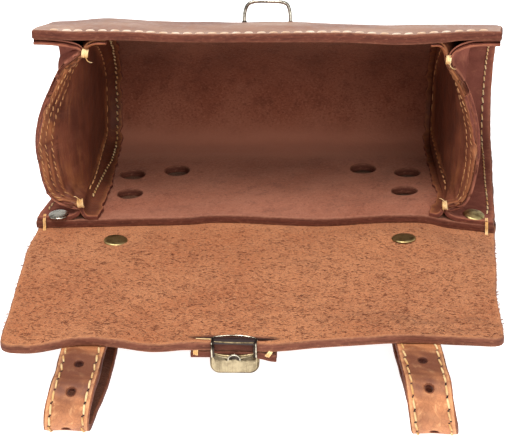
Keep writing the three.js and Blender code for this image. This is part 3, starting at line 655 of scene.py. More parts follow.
def gusset_place(side, layer):
    leaf = LEAF[side]

    def wall(s, h):
        y, z = section(s, WALL + h)
        return np.maximum(y, 0), z

    def place(s, across):
        s = np.asarray(s, float)
        across = np.asarray(across, float)
        behind_tie = smooth(s, 3, 16) * (1 - smooth(s, 34, 60)) * (layer > 0)
        root_y, root_z = wall(s, along_section(leaf["ties"], s) + 5 * behind_tie)
        root_y = np.maximum(root_y, RIM_SETBACK)
        tie = web_point(side, layer, root_y, root_z)
        swell = leaf["swell"] * behind_tie
        tie[..., 0] += swell
        bend = along_section(leaf["bend"] if layer > 0 else leaf["inner_bend"], s)
        bend_x = tie[..., 0] + layer * lerp(bend, 0.4 * bend, behind_tie)
        ragged = 0.7 * ripple(s, 0 * s, 6, 41)
        flange_x = half_width(root_z) - 0.6 if layer > 0 else bend_x - leaf["flange"] + ragged
        flat_y, flat_z = wall(s, 0.05 + soft_thickness(layer)(s, across) / 2)
        flat = stack(lerp(flange_x, bend_x, across / FLANGE_SHARE), flat_y, flat_z)
        turn = np.clip((across - FLANGE_SHARE) / (1 - FLANGE_SHARE), 0, 1) * math.pi / 2
        risen = 1 - np.cos(turn)
        curled = stack(lerp(bend_x, tie[..., 0], np.sin(turn)), lerp(flat_y, tie[..., 1], risen),
                       lerp(flat_z, tie[..., 2], risen))
        t = np.maximum(across - 1, 0)
        share = np.clip(s / SECTION_LENGTH, 0, 1)
        rim_z = lerp(WEB_HIGH, WEB_LOW, share)
        web = web_point(side, layer, lerp(root_y, RIM_SETBACK, t), lerp(root_z, rim_z, t))
        web[..., 0] += swell * (1 - smooth(t, 0, 0.8))
        bent = np.where((across <= 1)[..., None], curled, web)
        return mirrored(side, np.where((across <= FLANGE_SHARE)[..., None], flat, bent))

    return place


# ---------- shape of the straps ----------
UPPER_LENGTH = STRAP_NOSE - STRAP_START


def table_height(reach):
    return -GAP - LEATHER - math.tan(REST_TILT) * (PANEL_BACK + reach)


def upper_run(x, reach):
    room = GAP + STRAP_EDGE_GAP * np.clip(reach / FLAP_LENGTH, 0, 1) ** 2
    return panel_height(x, np.minimum(reach, FLAP_LENGTH)) - LEATHER - room


NOSE_TOP = -GAP - 1.5 * LEATHER - STRAP_EDGE_GAP
NOSE_BOTTOM = table_height(STRAP_NOSE) + LEATHER / 2 / math.cos(REST_TILT)
NOSE_RADIUS = (NOSE_TOP - NOSE_BOTTOM) / 2
NOSE_LENGTH = math.pi * NOSE_RADIUS
STRAP_LENGTH = UPPER_LENGTH + NOSE_LENGTH + STRAP_NOSE - STRAP_END
BUCKLE_REACH = STRAP_NOSE - (FIRST_STRAP_HOLE + BUCKLE_HOLE * STRAP_HOLE_PITCH - UPPER_LENGTH - NOSE_LENGTH)
strap_sway = {side: table_curve(rows) for side, rows in STRAP_SWAY.items()}


def buckle_stack(side):
    x = STRAP_SWAY[side][0][1]
    bar_top = upper_run(x, BUCKLE_REACH) - LEATHER / 2 - GAP
    tab = bar_top - BUCKLE_WIRE - GAP - TAB_THICKNESS / 2
    return tab, tab - TAB_THICKNESS / 2 - GAP - LEATHER / 2


def tab_height(side, reach):
    at_rivet = upper_run(STRAP_SWAY[side][0][1], RIVET_REACH) - LEATHER / 2 - GAP - TAB_THICKNESS / 2
    return lerp(at_rivet, buckle_stack(side)[0], smooth(reach, RIVET_REACH + 7, BUCKLE_REACH - 4))


def strap_place(side):
    def place(along, across):
        along = np.asarray(along, float)
        x = strap_sway[side](along) + across
        reach = STRAP_START + along
        waved = upper_run(x, reach)
        upper = stack(x, -reach, lerp(waved, NOSE_TOP, smooth(reach, FLAP_LENGTH + 1, STRAP_NOSE)))
        turn = (along - UPPER_LENGTH) / NOSE_RADIUS
        nose = stack(x, -STRAP_NOSE - NOSE_RADIUS * np.sin(turn),
                     NOSE_BOTTOM + NOSE_RADIUS * (1 + np.cos(turn)))
        back = STRAP_NOSE - (along - UPPER_LENGTH - NOSE_LENGTH)
        on_table = table_height(back) + LEATHER / 2 / math.cos(REST_TILT)
        lower_z = lerp(buckle_stack(side)[1], on_table, smooth(back, BUCKLE_REACH + 4, FLAT_LOWER_REACH))
        lower = stack(x, -back, lower_z)
        p = np.where((along <= UPPER_LENGTH)[..., None], upper, lower)
        bent = (along > UPPER_LENGTH) & (along <= UPPER_LENGTH + NOSE_LENGTH)
        return settle(np.where(bent[..., None], nose, p))

    return place


# ---------- materials ----------
PER_METRE = (1000, 1000, 1000)  # turns places in metres into millimetres


class Shader:
    """A node material, made one node at a time."""

    def __init__(self, name):
        self.material = bpy.data.materials.new(name)
        self.material.use_nodes = True
        self.tree = self.material.node_tree
        self.surface = self.tree.nodes["Principled BSDF"]

    def node(self, kind, inputs=None, **settings):
        node = self.tree.nodes.new(kind)
        for key, value in settings.items():
            setattr(node, key, value)
        for key, value in (inputs or {}).items():
            self.put(node.inputs[key], value)
        return node

    def put(self, socket, value):
        if isinstance(value, bpy.types.NodeSocket):
            self.tree.links.new(value, socket)
        else:
            socket.default_value = value

    def scaled(self, at, scale):
        return self.node("ShaderNodeVectorMath", {0: at, 1: scale}, operation="MULTIPLY").outputs[0]

    def object_place(self, scale=PER_METRE):
        return self.scaled(self.node("ShaderNodeTexCoord").outputs["Object"], scale)

    def sheet_place(self, scale=PER_METRE):
        return self.scaled(self.node("ShaderNodeUVMap", uv_map="sheet").outputs[0], scale)

    def noise(self, place, scale=1.0, detail=4.0, rough=0.55, distortion=0.0):
        return self.node("ShaderNodeTexNoise", {
            "Vector": place, "Scale": scale, "Detail": detail, "Roughness": rough, "Distortion": distortion,
        }).outputs["Fac"]

    def cells(self, place, scale=1.0, feature="F1"):
        inputs = {"Vector": place, "Scale": scale}
        return self.node("ShaderNodeTexVoronoi", inputs, feature=feature).outputs["Distance"]

    def ramp(self, value, low, high, a=0.0, b=1.0):
        return self.node("ShaderNodeMapRange", {
            "Value": value, "From Min": low, "From Max": high, "To Min": a, "To Max": b,
        }, interpolation_type="SMOOTHSTEP").outputs[0]

    def mix(self, share, a, b):
        a, b = (c if isinstance(c, bpy.types.NodeSocket) else (*c, 1.0) for c in (a, b))
        inputs = {"Factor": share, "A": a, "B": b}
        return self.node("ShaderNodeMix", inputs, data_type="RGBA").outputs["Result"]

    def math(self, operation, a, b=0.0):
        return self.node("ShaderNodeMath", {0: a, 1: b}, operation=operation).outputs[0]

    def attribute(self, name):
        return self.node("ShaderNodeAttribute", attribute_name=name).outputs["Fac"]

    def toned(self, colour, dark, dark_share, light):
        """Darker where the tone is above 0, lighter where it is below. The tone holds the leather's own
        patches and also painted light and shade.
        """
        tone = self.attribute("tone")
        colour = self.mix(self.ramp(tone, 0, 1, 0, dark_share), colour, dark)
        return self.mix(self.ramp(self.math("MULTIPLY", tone, -1.0), 0, 1, 0, 0.85), colour, light)

    def bump(self, height, distance, strength=1.0, normal=None):
        inputs = {"Height": height, "Distance": distance, "Strength": strength}
        if normal is not None:
            inputs["Normal"] = normal
        return self.node("ShaderNodeBump", inputs).outputs[0]

    def finish(self, **inputs):
        for key, value in inputs.items():
            socket = self.surface.inputs[key.replace("_", " ")]
            if isinstance(value, tuple) and len(value) == 3 and socket.type == "RGBA":
                value = (*value, 1.0)
            self.put(socket, value)
        return self.material


def linear(*colours):
    """Linear colours of sRGB triples from 0 to 255."""
    c = np.array(colours, float) / 255
    return [tuple(row) for row in np.where(c <= 0.04045, c / 12.92, ((c + 0.055) / 1.055) ** 2.4).tolist()]


def suede(name, base, light, dark, fleck, fleck_share=0.5, along=(1.7, 1.0), nap=0.5, mottle=0.5):
    """Flesh side of leather: short matted fibres, flecks and soft mottling."""
    base, light, dark, fleck = linear(base, light, dark, fleck)
    m = Shader(name)
    place = m.object_place()
    sheet = m.sheet_place((1000 * along[0], 1000 * along[1], 1000))
    broad = m.noise(place, 0.03, 3)
    middle = m.noise(place, 0.13, 5, 0.65)
    colour = m.mix(m.ramp(broad, 0.34, 0.66, 0, mottle), base, light)
    colour = m.mix(m.ramp(middle, 0.46, 0.7, 0, mottle), colour, dark)
    fibre = m.noise(sheet, 0.5, 6, 0.75, 0.6)
    colour = m.mix(m.ramp(fibre, 0.5, 0.66, 0, 0.6), colour, light)
    colour = m.mix(m.ramp(fibre, 0.47, 0.36, 0, 0.55), colour, dark)
    flecks = m.noise(sheet, 0.9, 3, 0.75, 0.4)
    colour = m.mix(m.ramp(flecks, 0.55, 0.63, 0, fleck_share), colour, fleck)
    worn = m.math("MULTIPLY", m.attribute("wear"), m.ramp(fibre, 0.35, 0.6, 0.2, 0.7))
    colour = m.mix(worn, colour, light)
    colour = m.toned(colour, fleck, 0.9, light)
    fuzz = m.noise(sheet, 1.5, 4, 0.75, 0.8)
    lumps = m.noise(place, 0.3, 4, 0.6)
    normal = m.bump(lumps, 0.0011, 0.5)
    normal = m.bump(fibre, 0.0012, nap, normal)
    normal = m.bump(fuzz, 0.0004, nap, normal)
    return m.finish(Base_Color=colour, Roughness=0.92, Normal=normal, Sheen_Weight=0.2, Sheen_Roughness=0.5,
                    Sheen_Tint=(0.9, 0.62, 0.45), Specular_IOR_Level=0.2)


def grain(name, base, light, dark, roughness=(0.38, 0.6), pores=0.5, scuff=0.5, pull=0.75, streaks=None,
          gloss=0.5):
    """Waxed outside of leather: pores, fine creases, pull-up lights and scuffed edges."""
    base, light, dark = linear(base, light, dark)
    m = Shader(name)
    place = m.object_place()
    sheet = m.sheet_place()
    broad = m.noise(place, 0.05, 4, 0.6)
    middle = m.noise(m.object_place(streaks) if streaks else sheet, 0.22, 5, 0.65, 0.5)
    colour = m.mix(m.ramp(broad, 0.38, 0.66, 0, 0.5), base, dark)
    colour = m.mix(m.ramp(middle, 0.5, 0.72, 0, pull), colour, light)
    crease = m.cells(sheet, 0.55, "DISTANCE_TO_EDGE")
    lines = m.ramp(crease, 0.0, 0.09, 1, 0)
    colour = m.mix(m.math("MULTIPLY", lines, 0.3 * scuff), colour, dark)
    colour = m.toned(colour, dark, 0.85, light)
    worn = m.math("MULTIPLY", m.attribute("wear"), m.ramp(middle, 0.3, 0.6, 0.1, scuff))
    colour = m.mix(worn, colour, light)
    pore = m.cells(sheet, 1.5)
    normal = m.bump(crease, 0.0005, 0.35 * pores)
    normal = m.bump(pore, 0.0002, 0.6 * pores, normal)
    normal = m.bump(middle, 0.0012, 0.35, normal)
    rough = m.ramp(middle, 0.3, 0.7, roughness[0], roughness[1])
    return m.finish(Base_Color=colour, Roughness=rough, Normal=normal, Specular_IOR_Level=gloss)


def cut_edge(name, base, light, dark, worn_share=0.75):
    """Dressed cut edge: faintly striped along the edge, rubbed pale at its corners."""
    base, light, dark = linear(base, light, dark)
    m = Shader(name)
    along = m.sheet_place((90, 900, 1000))
    speck = m.sheet_place((500, 1100, 1000))
    stripes = m.noise(along, 1.0, 4, 0.6, 0.3)
    specks = m.noise(speck, 0.8, 4, 0.7)
    colour = m.mix(m.ramp(stripes, 0.3, 0.6, 0.35, 1.0), dark, base)
    colour = m.mix(m.ramp(specks, 0.52, 0.74, 0, 0.55), colour, light)
    colour = m.mix(m.ramp(specks, 0.4, 0.3, 0, 0.5), colour, dark)
    worn = m.math("MULTIPLY", m.attribute("wear"), m.ramp(specks, 0.3, 0.6, 0.3, 1.0))
    colour = m.mix(m.math("MULTIPLY", worn, worn_share), colour, light)
    # Darker where the sheet's tone is high: painted shade carried onto the edge, as in the lock's window and
    # slit.
    colour = m.mix(m.ramp(m.attribute("tone"), 0.2, 1, 0, 0.85), colour, dark)
    normal = m.bump(stripes, 0.0006, 0.4)
    normal = m.bump(specks, 0.0004, 0.5, normal)
    return m.finish(Base_Color=colour, Roughness=0.7, Normal=normal, Specular_IOR_Level=0.12)


def thread(name, base, dark):
    base, dark = linear(base, dark)
    m = Shader(name)
    at = m.sheet_place()
    inputs = {"Vector": at, "Scale": 0.9, "Distortion": 1.0}
    strands = m.node("ShaderNodeTexWave", inputs, bands_direction="DIAGONAL")
    colour = m.mix(m.ramp(m.noise(m.object_place(), 0.12), 0.4, 0.65), base, dark)
    colour = m.mix(m.ramp(m.attribute("tone"), -1, 1, 0, 0.35), colour, dark)
    return m.finish(Base_Color=colour, Roughness=0.7, Normal=m.bump(strands.outputs["Fac"], 0.0002, 0.8))


def metal(name, base, dark, roughness=(0.22, 0.45), brushed=(1, 1, 1), blotch=1.0):
    base, dark = linear(base, dark)
    m = Shader(name)
    place = m.object_place(tuple(1000 * b for b in brushed))
    cloud = m.noise(m.object_place(), 0.25, 5, 0.6)
    hair = m.noise(place, 1.2, 3, 0.6)
    colour = m.mix(m.ramp(cloud, 0.42, 0.68, 0, blotch), base, dark)
    colour = m.mix(m.ramp(hair, 0.52, 0.75, 0, 0.45), colour, dark)
    rough = m.ramp(hair, 0.3, 0.7, roughness[0], roughness[1])
    return m.finish(Base_Color=colour, Metallic=1.0, Roughness=rough, Normal=m.bump(hair, 0.00015, 0.35))


def dull(name, colour, roughness=0.9):
    colour, = linear(colour)
    m = Shader(name)
    spread = m.noise(m.object_place(), 0.5)
    return m.finish(Base_Color=m.mix(spread, colour, tuple(0.7 * c for c in colour)), Roughness=roughness)


FLAP_SUEDE = suede("flap_suede", (170, 101, 62), (198, 133, 90), (136, 75, 44), (50, 21, 11), 0.95, nap=0.55)
BODY_SUEDE = suede("body_suede", (142, 82, 60), (172, 112, 88), (94, 46, 34), (66, 30, 22), 0.35, (1.6, 1.3),
                   0.3, 0.4)
STRAP_SUEDE = suede("strap_suede", (92, 50, 35), (128, 78, 56), (64, 32, 22), (48, 22, 15), 0.4)
BODY_GRAIN = grain("body_grain", (130, 80, 60), (192, 158, 136), (96, 55, 42), pull=0.25, gloss=0.4)
SIDE_GRAIN = grain("side_grain", (112, 61, 42), (172, 110, 66), (62, 30, 22), (0.5, 0.7), 0.5, 0.6,
                   pull=0.3, streaks=(900, 3400, 260), gloss=0.25)
RIM_GRAIN = grain("rim_grain", (128, 76, 64), (166, 108, 84), (78, 40, 34), (0.42, 0.62), 0.5, 0.6,
                  pull=0.4, streaks=(600, 1500, 500), gloss=0.0)
STRAP_GRAIN = grain("strap_grain", (184, 119, 77), (220, 163, 114), (88, 42, 26), (0.45, 0.68), 0.7, 0.8,
                    gloss=0.3)
BODY_EDGE = cut_edge("body_edge", (96, 51, 38), (148, 98, 76), (60, 28, 22))
FLAP_EDGE = cut_edge("flap_edge", (112, 65, 50), (170, 116, 84), (60, 28, 20))
STRAP_EDGE = cut_edge("strap_edge", (104, 54, 38), (174, 114, 80), (62, 28, 22), 0.5)
SIDE_EDGE = cut_edge("side_edge", (100, 52, 42), (170, 106, 76), (62, 28, 22))
CREAM_THREAD = thread("cream_thread", (255, 226, 170), (222, 168, 100))
PALE_THREAD = thread("pale_thread", (255, 234, 212), (232, 196, 164))
RUBBED_THREAD = thread("rubbed_thread", (238, 178, 118), (176, 112, 66))
# Painted shade: the dark inside the needle holes and inside the lock's slit.
PIT_SHADE = dull("needle_pit_shade", (50, 22, 14))
DARK_FIBRE = dull("dark_fibre", (108, 51, 29))
PALE_FIBRE = dull("pale_fibre", (222, 158, 112))
LIP_SHADE = dull("lip_shade", (40, 20, 17), 0.6)
SLOT_SHADE = dull("slot_shade", (14, 8, 6), 1.0)
BRASS = metal("antique_brass", (196, 178, 124), (120, 98, 56), (0.3, 0.5))
NICKEL = metal("dull_nickel", (206, 200, 186), (120, 112, 100), (0.12, 0.3))
LOCK_METAL = metal("brushed_brass", (168, 152, 122), (84, 70, 50), (0.24, 0.4), (1.6, 1.6, 0.06), 0.5)
# Lit and shaded copies of the lock's brass: the bright rim paints highlights on thin edges, the bevel paints
# shade on the body's rim and the flap's crest.
LOCK_RIM_HIGHLIGHT = metal("bright_rim_highlight", (200, 190, 170), (70, 58, 46), (0.18, 0.32))
LOCK_BEVEL_SHADE = metal("lock_bevel_shade", (128, 112, 84), (60, 48, 34), (0.3, 0.45))
# Dark metal that paints shade: in the lock's notch, along and beside its rails, and round the staple's feet.
IRON_SHADE = metal("dark_iron_shade", (70, 60, 54), (30, 24, 20), (0.3, 0.5))


# ---------- pieces of the body and the flap ----------
BAND = table_curve([(-118, 0.2), (-93, 0.3), (-60, 0.0), (-40, -0.1), (0, 0.3), (42, 0.7), (88, 0.8),
                    (96, 0.2), (118, 0)])


PANEL_STEPS = merged_steps([-118, -116.8], steps(-115.6, 115.6, 1.7), [116.8, 118])


def body_wrap():
    piece = Piece()
    holes = [(SECTION_LENGTH - depth, sign * x, BACK_HOLE_RADIUS)
             for sign in (-1, 1) for x, depth in BACK_HOLES]
    us = merged_steps([0, 1.2], steps(2.4, SECTION_LENGTH - 2.4, 1.7), [SECTION_LENGTH - 1.2, SECTION_LENGTH])

    def thicker(s, v):
        return BAND(v) * (1 - smooth(s, 2, 14))

    # Tone of the inside: painted light low in the bottom curve and at the back wall's mouth, painted shade up
    # under the front wall and deeper in; streaks towards the back, a little darker to the right, random
    # mottling.
    def inside(s, v):
        depth, height = section(s, 0)
        streaks = 0.16 * ripple(v, s * 2.5, 9, 14) * smooth(s, SECTION_LENGTH - 70, SECTION_LENGTH)
        mouth = np.exp(-((SECTION_LENGTH - s) / 9) ** 2)
        low = np.exp(-((depth - 98) / 15) ** 2) * (1 - smooth(height, 10, 40))
        right = smooth(v, 10, 60) * smooth(s, SECTION_LENGTH - 80, SECTION_LENGTH - 10)
        return (-1.5 * low + 0.1 * right + 0.3 * smooth(height, 20, 62) + 0.12 * smooth(depth, 70, 112)
                - 0.3 * mouth + streaks + 0.08 * ripple(v, s, 26, 15))

    # Tone of the outside: a painted reflection lightens the front wall's top by the mouth; a pale worn patch
    # at the left corner; random mottling.
    def outside(s, v):
        patch = np.exp(-((v + 102) / 7) ** 2 - ((s - 5) / 4) ** 2)
        return -0.5 * np.exp(-(s / 46) ** 2) - 0.5 * patch + 0.16 * ripple(v, s * 2, 20, 16)

    leather(piece, us, PANEL_STEPS, wrap_place, WALL, holes, front_relief=thicker, tone=inside,
            back_tone=outside, seed=5)
    piece.build("body_wrap_leather", [BODY_SUEDE, BODY_GRAIN, BODY_EDGE], ["body_wrap"])


def body_stitching():
    """A row along the strip's front mouth edge, seen from outside, and the back tacks over the hinge's
    corners.
    """
    piece = Piece()
    v = np.linspace(-111, 112, 400)
    line, normal = sheet_line(wrap_place, -WALL / 2, 1.9, v, eps=(0.1, 0.1))
    stitches(piece, line, normal, 5.9, 0.5, gap=1.5, seed=80, slots=(2, 1), pits=False)
    for x, top in ((-113.4, 6.2), (114.2, 6.4)):
        low, front, high, back = (settle(stack(x, y, z)) for y, z in (
            (-3.0, -0.9), (-1.0, 1.6), (-0.6, top - 1.2), (2.4, top + 0.6)))
        path = smooth_path([low + (0.3, 0, -1.2), low, front, high, back], 24)
        for k in (-0.38, 0.38):
            tube(piece, path + np.array([k, 0, 0]), 0.38, 8)
    piece.build("body_stitching", [CREAM_THREAD, PIT_SHADE, PALE_THREAD])


def panel_place_raised(reach, v):
    p = panel_place(reach, v)
    p[..., 2] += 0.2
    return p


SLIT = (LOCK_SLIT["reach"], LOCK_X, (2.0, LOCK_SLIT["length"] / 2 + 2.6))


def back_flap_panel():
    piece = Piece()
    us = merged_steps([-100, -98.8], steps(-97, 123, 1.7), [124.2, 125.4, 126.3], steps(127, 131, 1),
                      [131.6, 132.2, 132.9, 134], least=0.4)

    def extra(reach, v):
        inset = np.minimum.reduce([FLAP_LENGTH - reach, PANEL_BACK + reach, BACK_HALF_WIDTH - np.abs(v)])
        return 1.0 * (1 - smooth(inset, 3, 12)) * smooth(reach, 0, 20)

    def nap(reach, v):
        return (0.12 * ripple(v, reach, 5, 31) + 0.08 * ripple(v, reach * 2.2, 3, 32)) * smooth(reach, 2, 8)

    # Tone of the flap: painted shade on the part hidden under the body, seen through the back wall's holes,
    # in the lock's window and round the slit; random mottling, rougher towards the free edge; a little darker
    # to the right and lighter to the left.
    def tone(reach, v):
        from_lock = np.abs(v / BACK_HALF_WIDTH * 112.5 - LOCK_X)
        window_shade = smooth(reach, 131.2, 132) * smooth(11 - from_lock, 0, 1.5)
        slit = np.exp(-((reach - SLIT[0]) / 2.4) ** 2) * smooth(SLIT[2][1] + 1.6 - from_lock, 0, 1.5)
        covered_shade = smooth(-reach, 4, 12)
        rough = smooth(reach, 20, 125)
        return (0.9 * covered_shade + 0.9 * window_shade + 0.8 * slit + 0.12 * ripple(v, reach, 24, 33)
                + 0.14 * rough * ripple(v, reach * 2, 7, 34) + 0.12 * smooth(v, 40, 110)
                - 0.1 * smooth(-v, 20, 100))

    leather(piece, us, PANEL_STEPS, panel_place_raised, LEATHER, [SLIT], back_relief=extra, front_relief=nap,
            tone=tone, seed=9, edge_noise=0.2)
    # A thin tube in painted shade lies along the slit, standing in for the shade inside it.
    t = np.linspace(-1, 1, 40)
    tube(piece, flap_top(LOCK_X + 17.7 * t, SLIT[0] + 0.1, -0.12), 0.42 * np.sqrt(1.03 - t ** 2), 8, 3)
    t = np.linspace(-17.4, -10.6, 20)
    tube(piece, flap_top(LOCK_X + t, SLIT[0] + 1.0 + 0.06 * (t + 17), -0.12), 0.34, 8, 4)
    piece.build("back_flap_leather", [FLAP_SUEDE, BODY_GRAIN, FLAP_EDGE, PIT_SHADE, CREAM_THREAD],
                ["back_flap_panel"])


def flap_top(x, reach, above=0.0):
    """Point on the flap's upper face."""
    x, reach = np.broadcast_arrays(np.asarray(x, float), np.asarray(reach, float))
    v = x / flap_half(np.maximum(reach, 0)) * BACK_HALF_WIDTH
    p = panel_place_raised(reach, v)
    p[..., 2] += LEATHER / 2 + above
    return p


def fibres(piece, at, heading, length, radius, slot, curl):
    """Many short bent hairs at once: three-sided tubes with two segments."""
    side = unit(np.cross(heading, [0, 0, 1.0]))
    t = np.array([0, 0.5, 1.0])
    arch = np.array([-0.04, 0.13, 0.02])
    path = (at[:, None] + heading[:, None] * (length[:, None] * t)[..., None]
            + side[:, None] * (curl[:, None] * t ** 2)[..., None])
    path[..., 2] += arch * length[:, None] * 0.9 + 0.03
    taper = np.array([0.7, 1.0, 0.4])
    turn = np.radians([90, 210, 330])
    ring = (side[:, None, None] * np.cos(turn)[None, None, :, None]
            + np.array([0, 0, 1.0]) * np.sin(turn)[None, None, :, None])
    rings = path[:, :, None] + ring * (radius[:, None] * taper)[:, :, None, None]
    local = [[k + s, k + (s + 1) % 3, k + (s + 1) % 3 + 3, k + s + 3] for k in (0, 3) for s in range(3)]
    first_of_each = (np.arange(len(at)) * 9)[:, None, None]
    first = piece.count
    piece.add(rings, (np.array(local) + first_of_each).reshape(-1, 4), np.repeat(slot, 6))
    caps = (np.array([[2, 1, 0], [6, 7, 8]]) + first_of_each).reshape(-1, 3)
    piece.faces.append(caps + first)
    piece.slots.append(np.repeat(slot, 2))
    piece.uvs.append(np.zeros((caps.size, 2)))


def flap_nap():
    """Loose hairs of the flap's flesh side, thickest towards the free edge and along the side edges."""
    rng = np.random.default_rng(40)
    piece = Piece()
    n = 17000
    reach = 4 + (FLAP_LENGTH - 6) * rng.uniform(0, 1, n) ** 0.75
    x = rng.uniform(-1, 1, n) * (flap_half(reach) - 1.5)
    keep = (np.abs(reach - SLIT[0]) > 3) | (np.abs(x - SLIT[1]) > SLIT[2][1] + 1)
    keep &= np.hypot(reach - RIVET_REACH, np.abs(x) - 73) > 7
    keep &= rng.uniform(0, 1, n) < 0.7 + 0.3 * ripple(x, reach * 1.6, 10, 35)
    reach, x = reach[keep], x[keep]
    n = len(x)
    angle = rng.normal(0, 0.55, n) + np.where(rng.uniform(0, 1, n) < 0.5, 0, math.pi)
    heading = stack(np.cos(angle), np.sin(angle), 0)
    length = rng.uniform(0.7, 2.2, n)
    dark = rng.uniform(0, 1, n) < 0.55
    radius = np.where(dark, rng.uniform(0.06, 0.13, n), rng.uniform(0.06, 0.11, n))
    fibres(piece, flap_top(x, reach, 0.05), heading, length, radius, np.where(dark, 0, 1),
           rng.normal(0, 0.5, n))
    m = 260
    reach = rng.uniform(8, 130, m)
    edge = rng.choice([-1.0, 1.0], m)
    at = flap_top(edge * (flap_half(reach) - 0.4), reach, -0.4)
    heading = unit(stack(edge, rng.normal(0, 0.6, m), rng.normal(0, 0.15, m)))
    fibres(piece, at, heading, rng.uniform(0.8, 2.4, m), rng.uniform(0.07, 0.13, m),
           np.where(rng.uniform(0, 1, m) < 0.7, 0, 1), rng.normal(0, 0.4, m))
    piece.build("flap_nap", [DARK_FIBRE, PALE_FIBRE])


# ---------- pieces of the folding sides ----------
ARC_DEPTH = np.linspace(0, 60, 241)
ARC_FLARE = np.linspace(0, 24, 25)
_slope = ARC_FLARE[:, None] / FLARE_DEPTH * np.exp(-ARC_DEPTH[None] / FLARE_DEPTH)
ARC_TABLE = np.concatenate([np.zeros((25, 1)), np.cumsum(
    (np.hypot(1, _slope)[:, 1:] + np.hypot(1, _slope)[:, :-1]) / 2 * ARC_DEPTH[1], axis=1)], axis=1)


def rim_distance(side, depth, height):
    """Distance from the rim measured along the web."""
    flare = np.clip(np.abs(RIM_X[side](height) - WEB_X[side](RIM_SETBACK)), 0, 23.9)
    t = np.clip((depth - RIM_SETBACK) / ARC_DEPTH[1], 0, 239.9)
    i, j = flare.astype(int), t.astype(int)
    a, b = flare - i, t - j
    near, far = (lerp(ARC_TABLE[k, j], ARC_TABLE[k, j + 1], b) for k in (i, i + 1))
    return lerp(near, far, a)


def depth_at_rim_distance(side, distance, height):
    grid = np.linspace(RIM_SETBACK, 32, 240)
    rows = [rim_distance(side, grid, h + 0 * grid) for h in np.ravel(height)]
    return np.array([np.interp(distance, row, grid) for row in rows])


RIM_ROWS = {"left": (0.7, 3.5, 6.8), "right": (1.6, 4.6)}
ROW_WIDTH = 0.85
TIES = {"left": {"low": (1.0, 10.0), "high": (1.0, 92.6)}, "right": {"low": (1.0, 9.6), "high": (1.0, 88.4)}}
TACKS = {"left": ((-86.5, 92.8), (-94.1, 11.6)), "right": ((93.3, 88.4), (92.9, 10.4))}


def uneven_rim_distance(side, y, z):
    return rim_distance(side, np.maximum(y, RIM_SETBACK), z) + 0.35 * ripple(y + z, z, 14, 45)


def leaf_rise(side, y, z):
    """Height of the leaf's ridges along the rim's rows of stitches and of the puckers round its ties."""
    away = uneven_rim_distance(side, y, z)
    ridges = sum(np.exp(-((away - row) / ROW_WIDTH) ** 2) for row in RIM_ROWS[side])
    rise = 0.5 * ridges * smooth(z, 12, 20) * (1 - smooth(z, 82, 92))
    for name, waves in (("low", 11), ("high", 7)):
        ty, tz = TIES[side][name]
        r = np.hypot(y - ty, z - tz)
        angle = np.arctan2(z - tz, y - ty)
        pucker = np.sin(waves * angle + 0.5 * ripple(r, angle, 9, 46))
        rise = rise + 0.3 * pucker * np.exp(-((r - 7) / 9) ** 2)
    return rise + 0.2 * ripple(y * 0.5, z * 1.6, 9, 47) + 0.08 * ripple(y, z, 3.2, 48)


def leaf_fold(side, place):
    """Relief of the inner layer's seen side, with the fold at its root."""
    def relief(s, across):
        p = place(s, across)
        y, z = p[..., 1], p[..., 2]
        root = 1.3 * np.exp(-((across - 1.0) / 0.035) ** 2)
        return leaf_rise(side, y, z) * smooth(across, 1.0, 1.06) + root * smooth(y, 20, 60)
    return relief


def leaf_tone(side, place):
    """Tone of the inner layer's seen side, lighter below 0 and darker above 0: painted shade in the grooves
    beside the stitch ridges and in the leaf's hollow, painted light low by the lower tie, and crests and root
    fold lighter, partly rubbed golden and partly painted highlight.
    """
    def tone(s, across):
        p = place(s, across)
        y, z = p[..., 1], p[..., 2]
        away = uneven_rim_distance(side, y, z)
        crest = sum(np.exp(-((away - row) / 0.9) ** 2) for row in RIM_ROWS[side])
        groove_shade = sum(np.exp(-((away - row - 1.4) / 0.5) ** 2) for row in RIM_ROWS[side])
        hollow_shade = smooth(away, 9, 22) * smooth(z, 20, 50)
        low = np.exp(-((z - 22) / 15) ** 2) * np.exp(-((y - 10) / 16) ** 2)
        root = np.exp(-((across - 1.0) / 0.05) ** 2) * smooth(y, 20, 60)
        rubbed = 0.25 if side == "left" else 0.15
        value = (0.5 * groove_shade - rubbed * crest - 0.22 * low - 0.75 * root + 0.32 * hollow_shade
                 + 0.15 * ripple(y * 3, z, 14, 49) + 0.12 * ripple(y * 2.2, z * 0.5, 4, 50))
        return value * smooth(across, 0.9, 1.04)
    return tone


def gusset(side, layer):
    piece = Piece()
    outer = layer > 0
    ends = steps(0, 12, 0.75)
    us = merged_steps(ends, steps(14, SECTION_LENGTH - 14, 2.4), SECTION_LENGTH - ends[::-1], least=0.4)
    flange = [np.linspace(0, 0.4, 7), np.linspace(0.45, 0.94, 10)]
    web = [np.linspace(0.98, 2, 26)] if outer else [np.linspace(0.96, 1.06, 7), np.linspace(1.09, 1.7, 22),
                                                    np.linspace(1.715, 2, 22)]
    place = gusset_place(side, layer)
    looks = {}
    if not outer:
        relief = "back_relief" if side == "left" else "front_relief"
        looks = {relief: leaf_fold(side, place), "tone": leaf_tone(side, place)}

    def mapping(u, v):
        return np.stack([u, v * 50], -1)

    leather(piece, us, np.concatenate(flange + web), place, soft_thickness(layer), eps=(0.2, 0.006),
            rounding=0.4, uv=mapping, seed=13, edge_noise=0.2, **looks)
    name = f"gusset_{'outer' if outer else 'inner'}_{side}"
    face = RIM_GRAIN if outer else SIDE_GRAIN
    piece.build(name + "_leather", [face, face, SIDE_EDGE], [name])


def sheet_line(place, thick, us, vs, above=0.0, eps=(0.1, 0.005)):
    """Line on a sheet's surface, with normals; thick is signed, towards the side that the line lies on."""
    us, vs = np.broadcast_arrays(np.asarray(us, float), np.asarray(vs, float))
    normal = unit(np.cross(place(us + eps[0], vs) - place(us - eps[0], vs),
                           place(us, vs + eps[1]) - place(us, vs - eps[1])))
    normal = normal * math.copysign(1, thick)
    return place(us, vs) + normal * (abs(thick) + above), normal


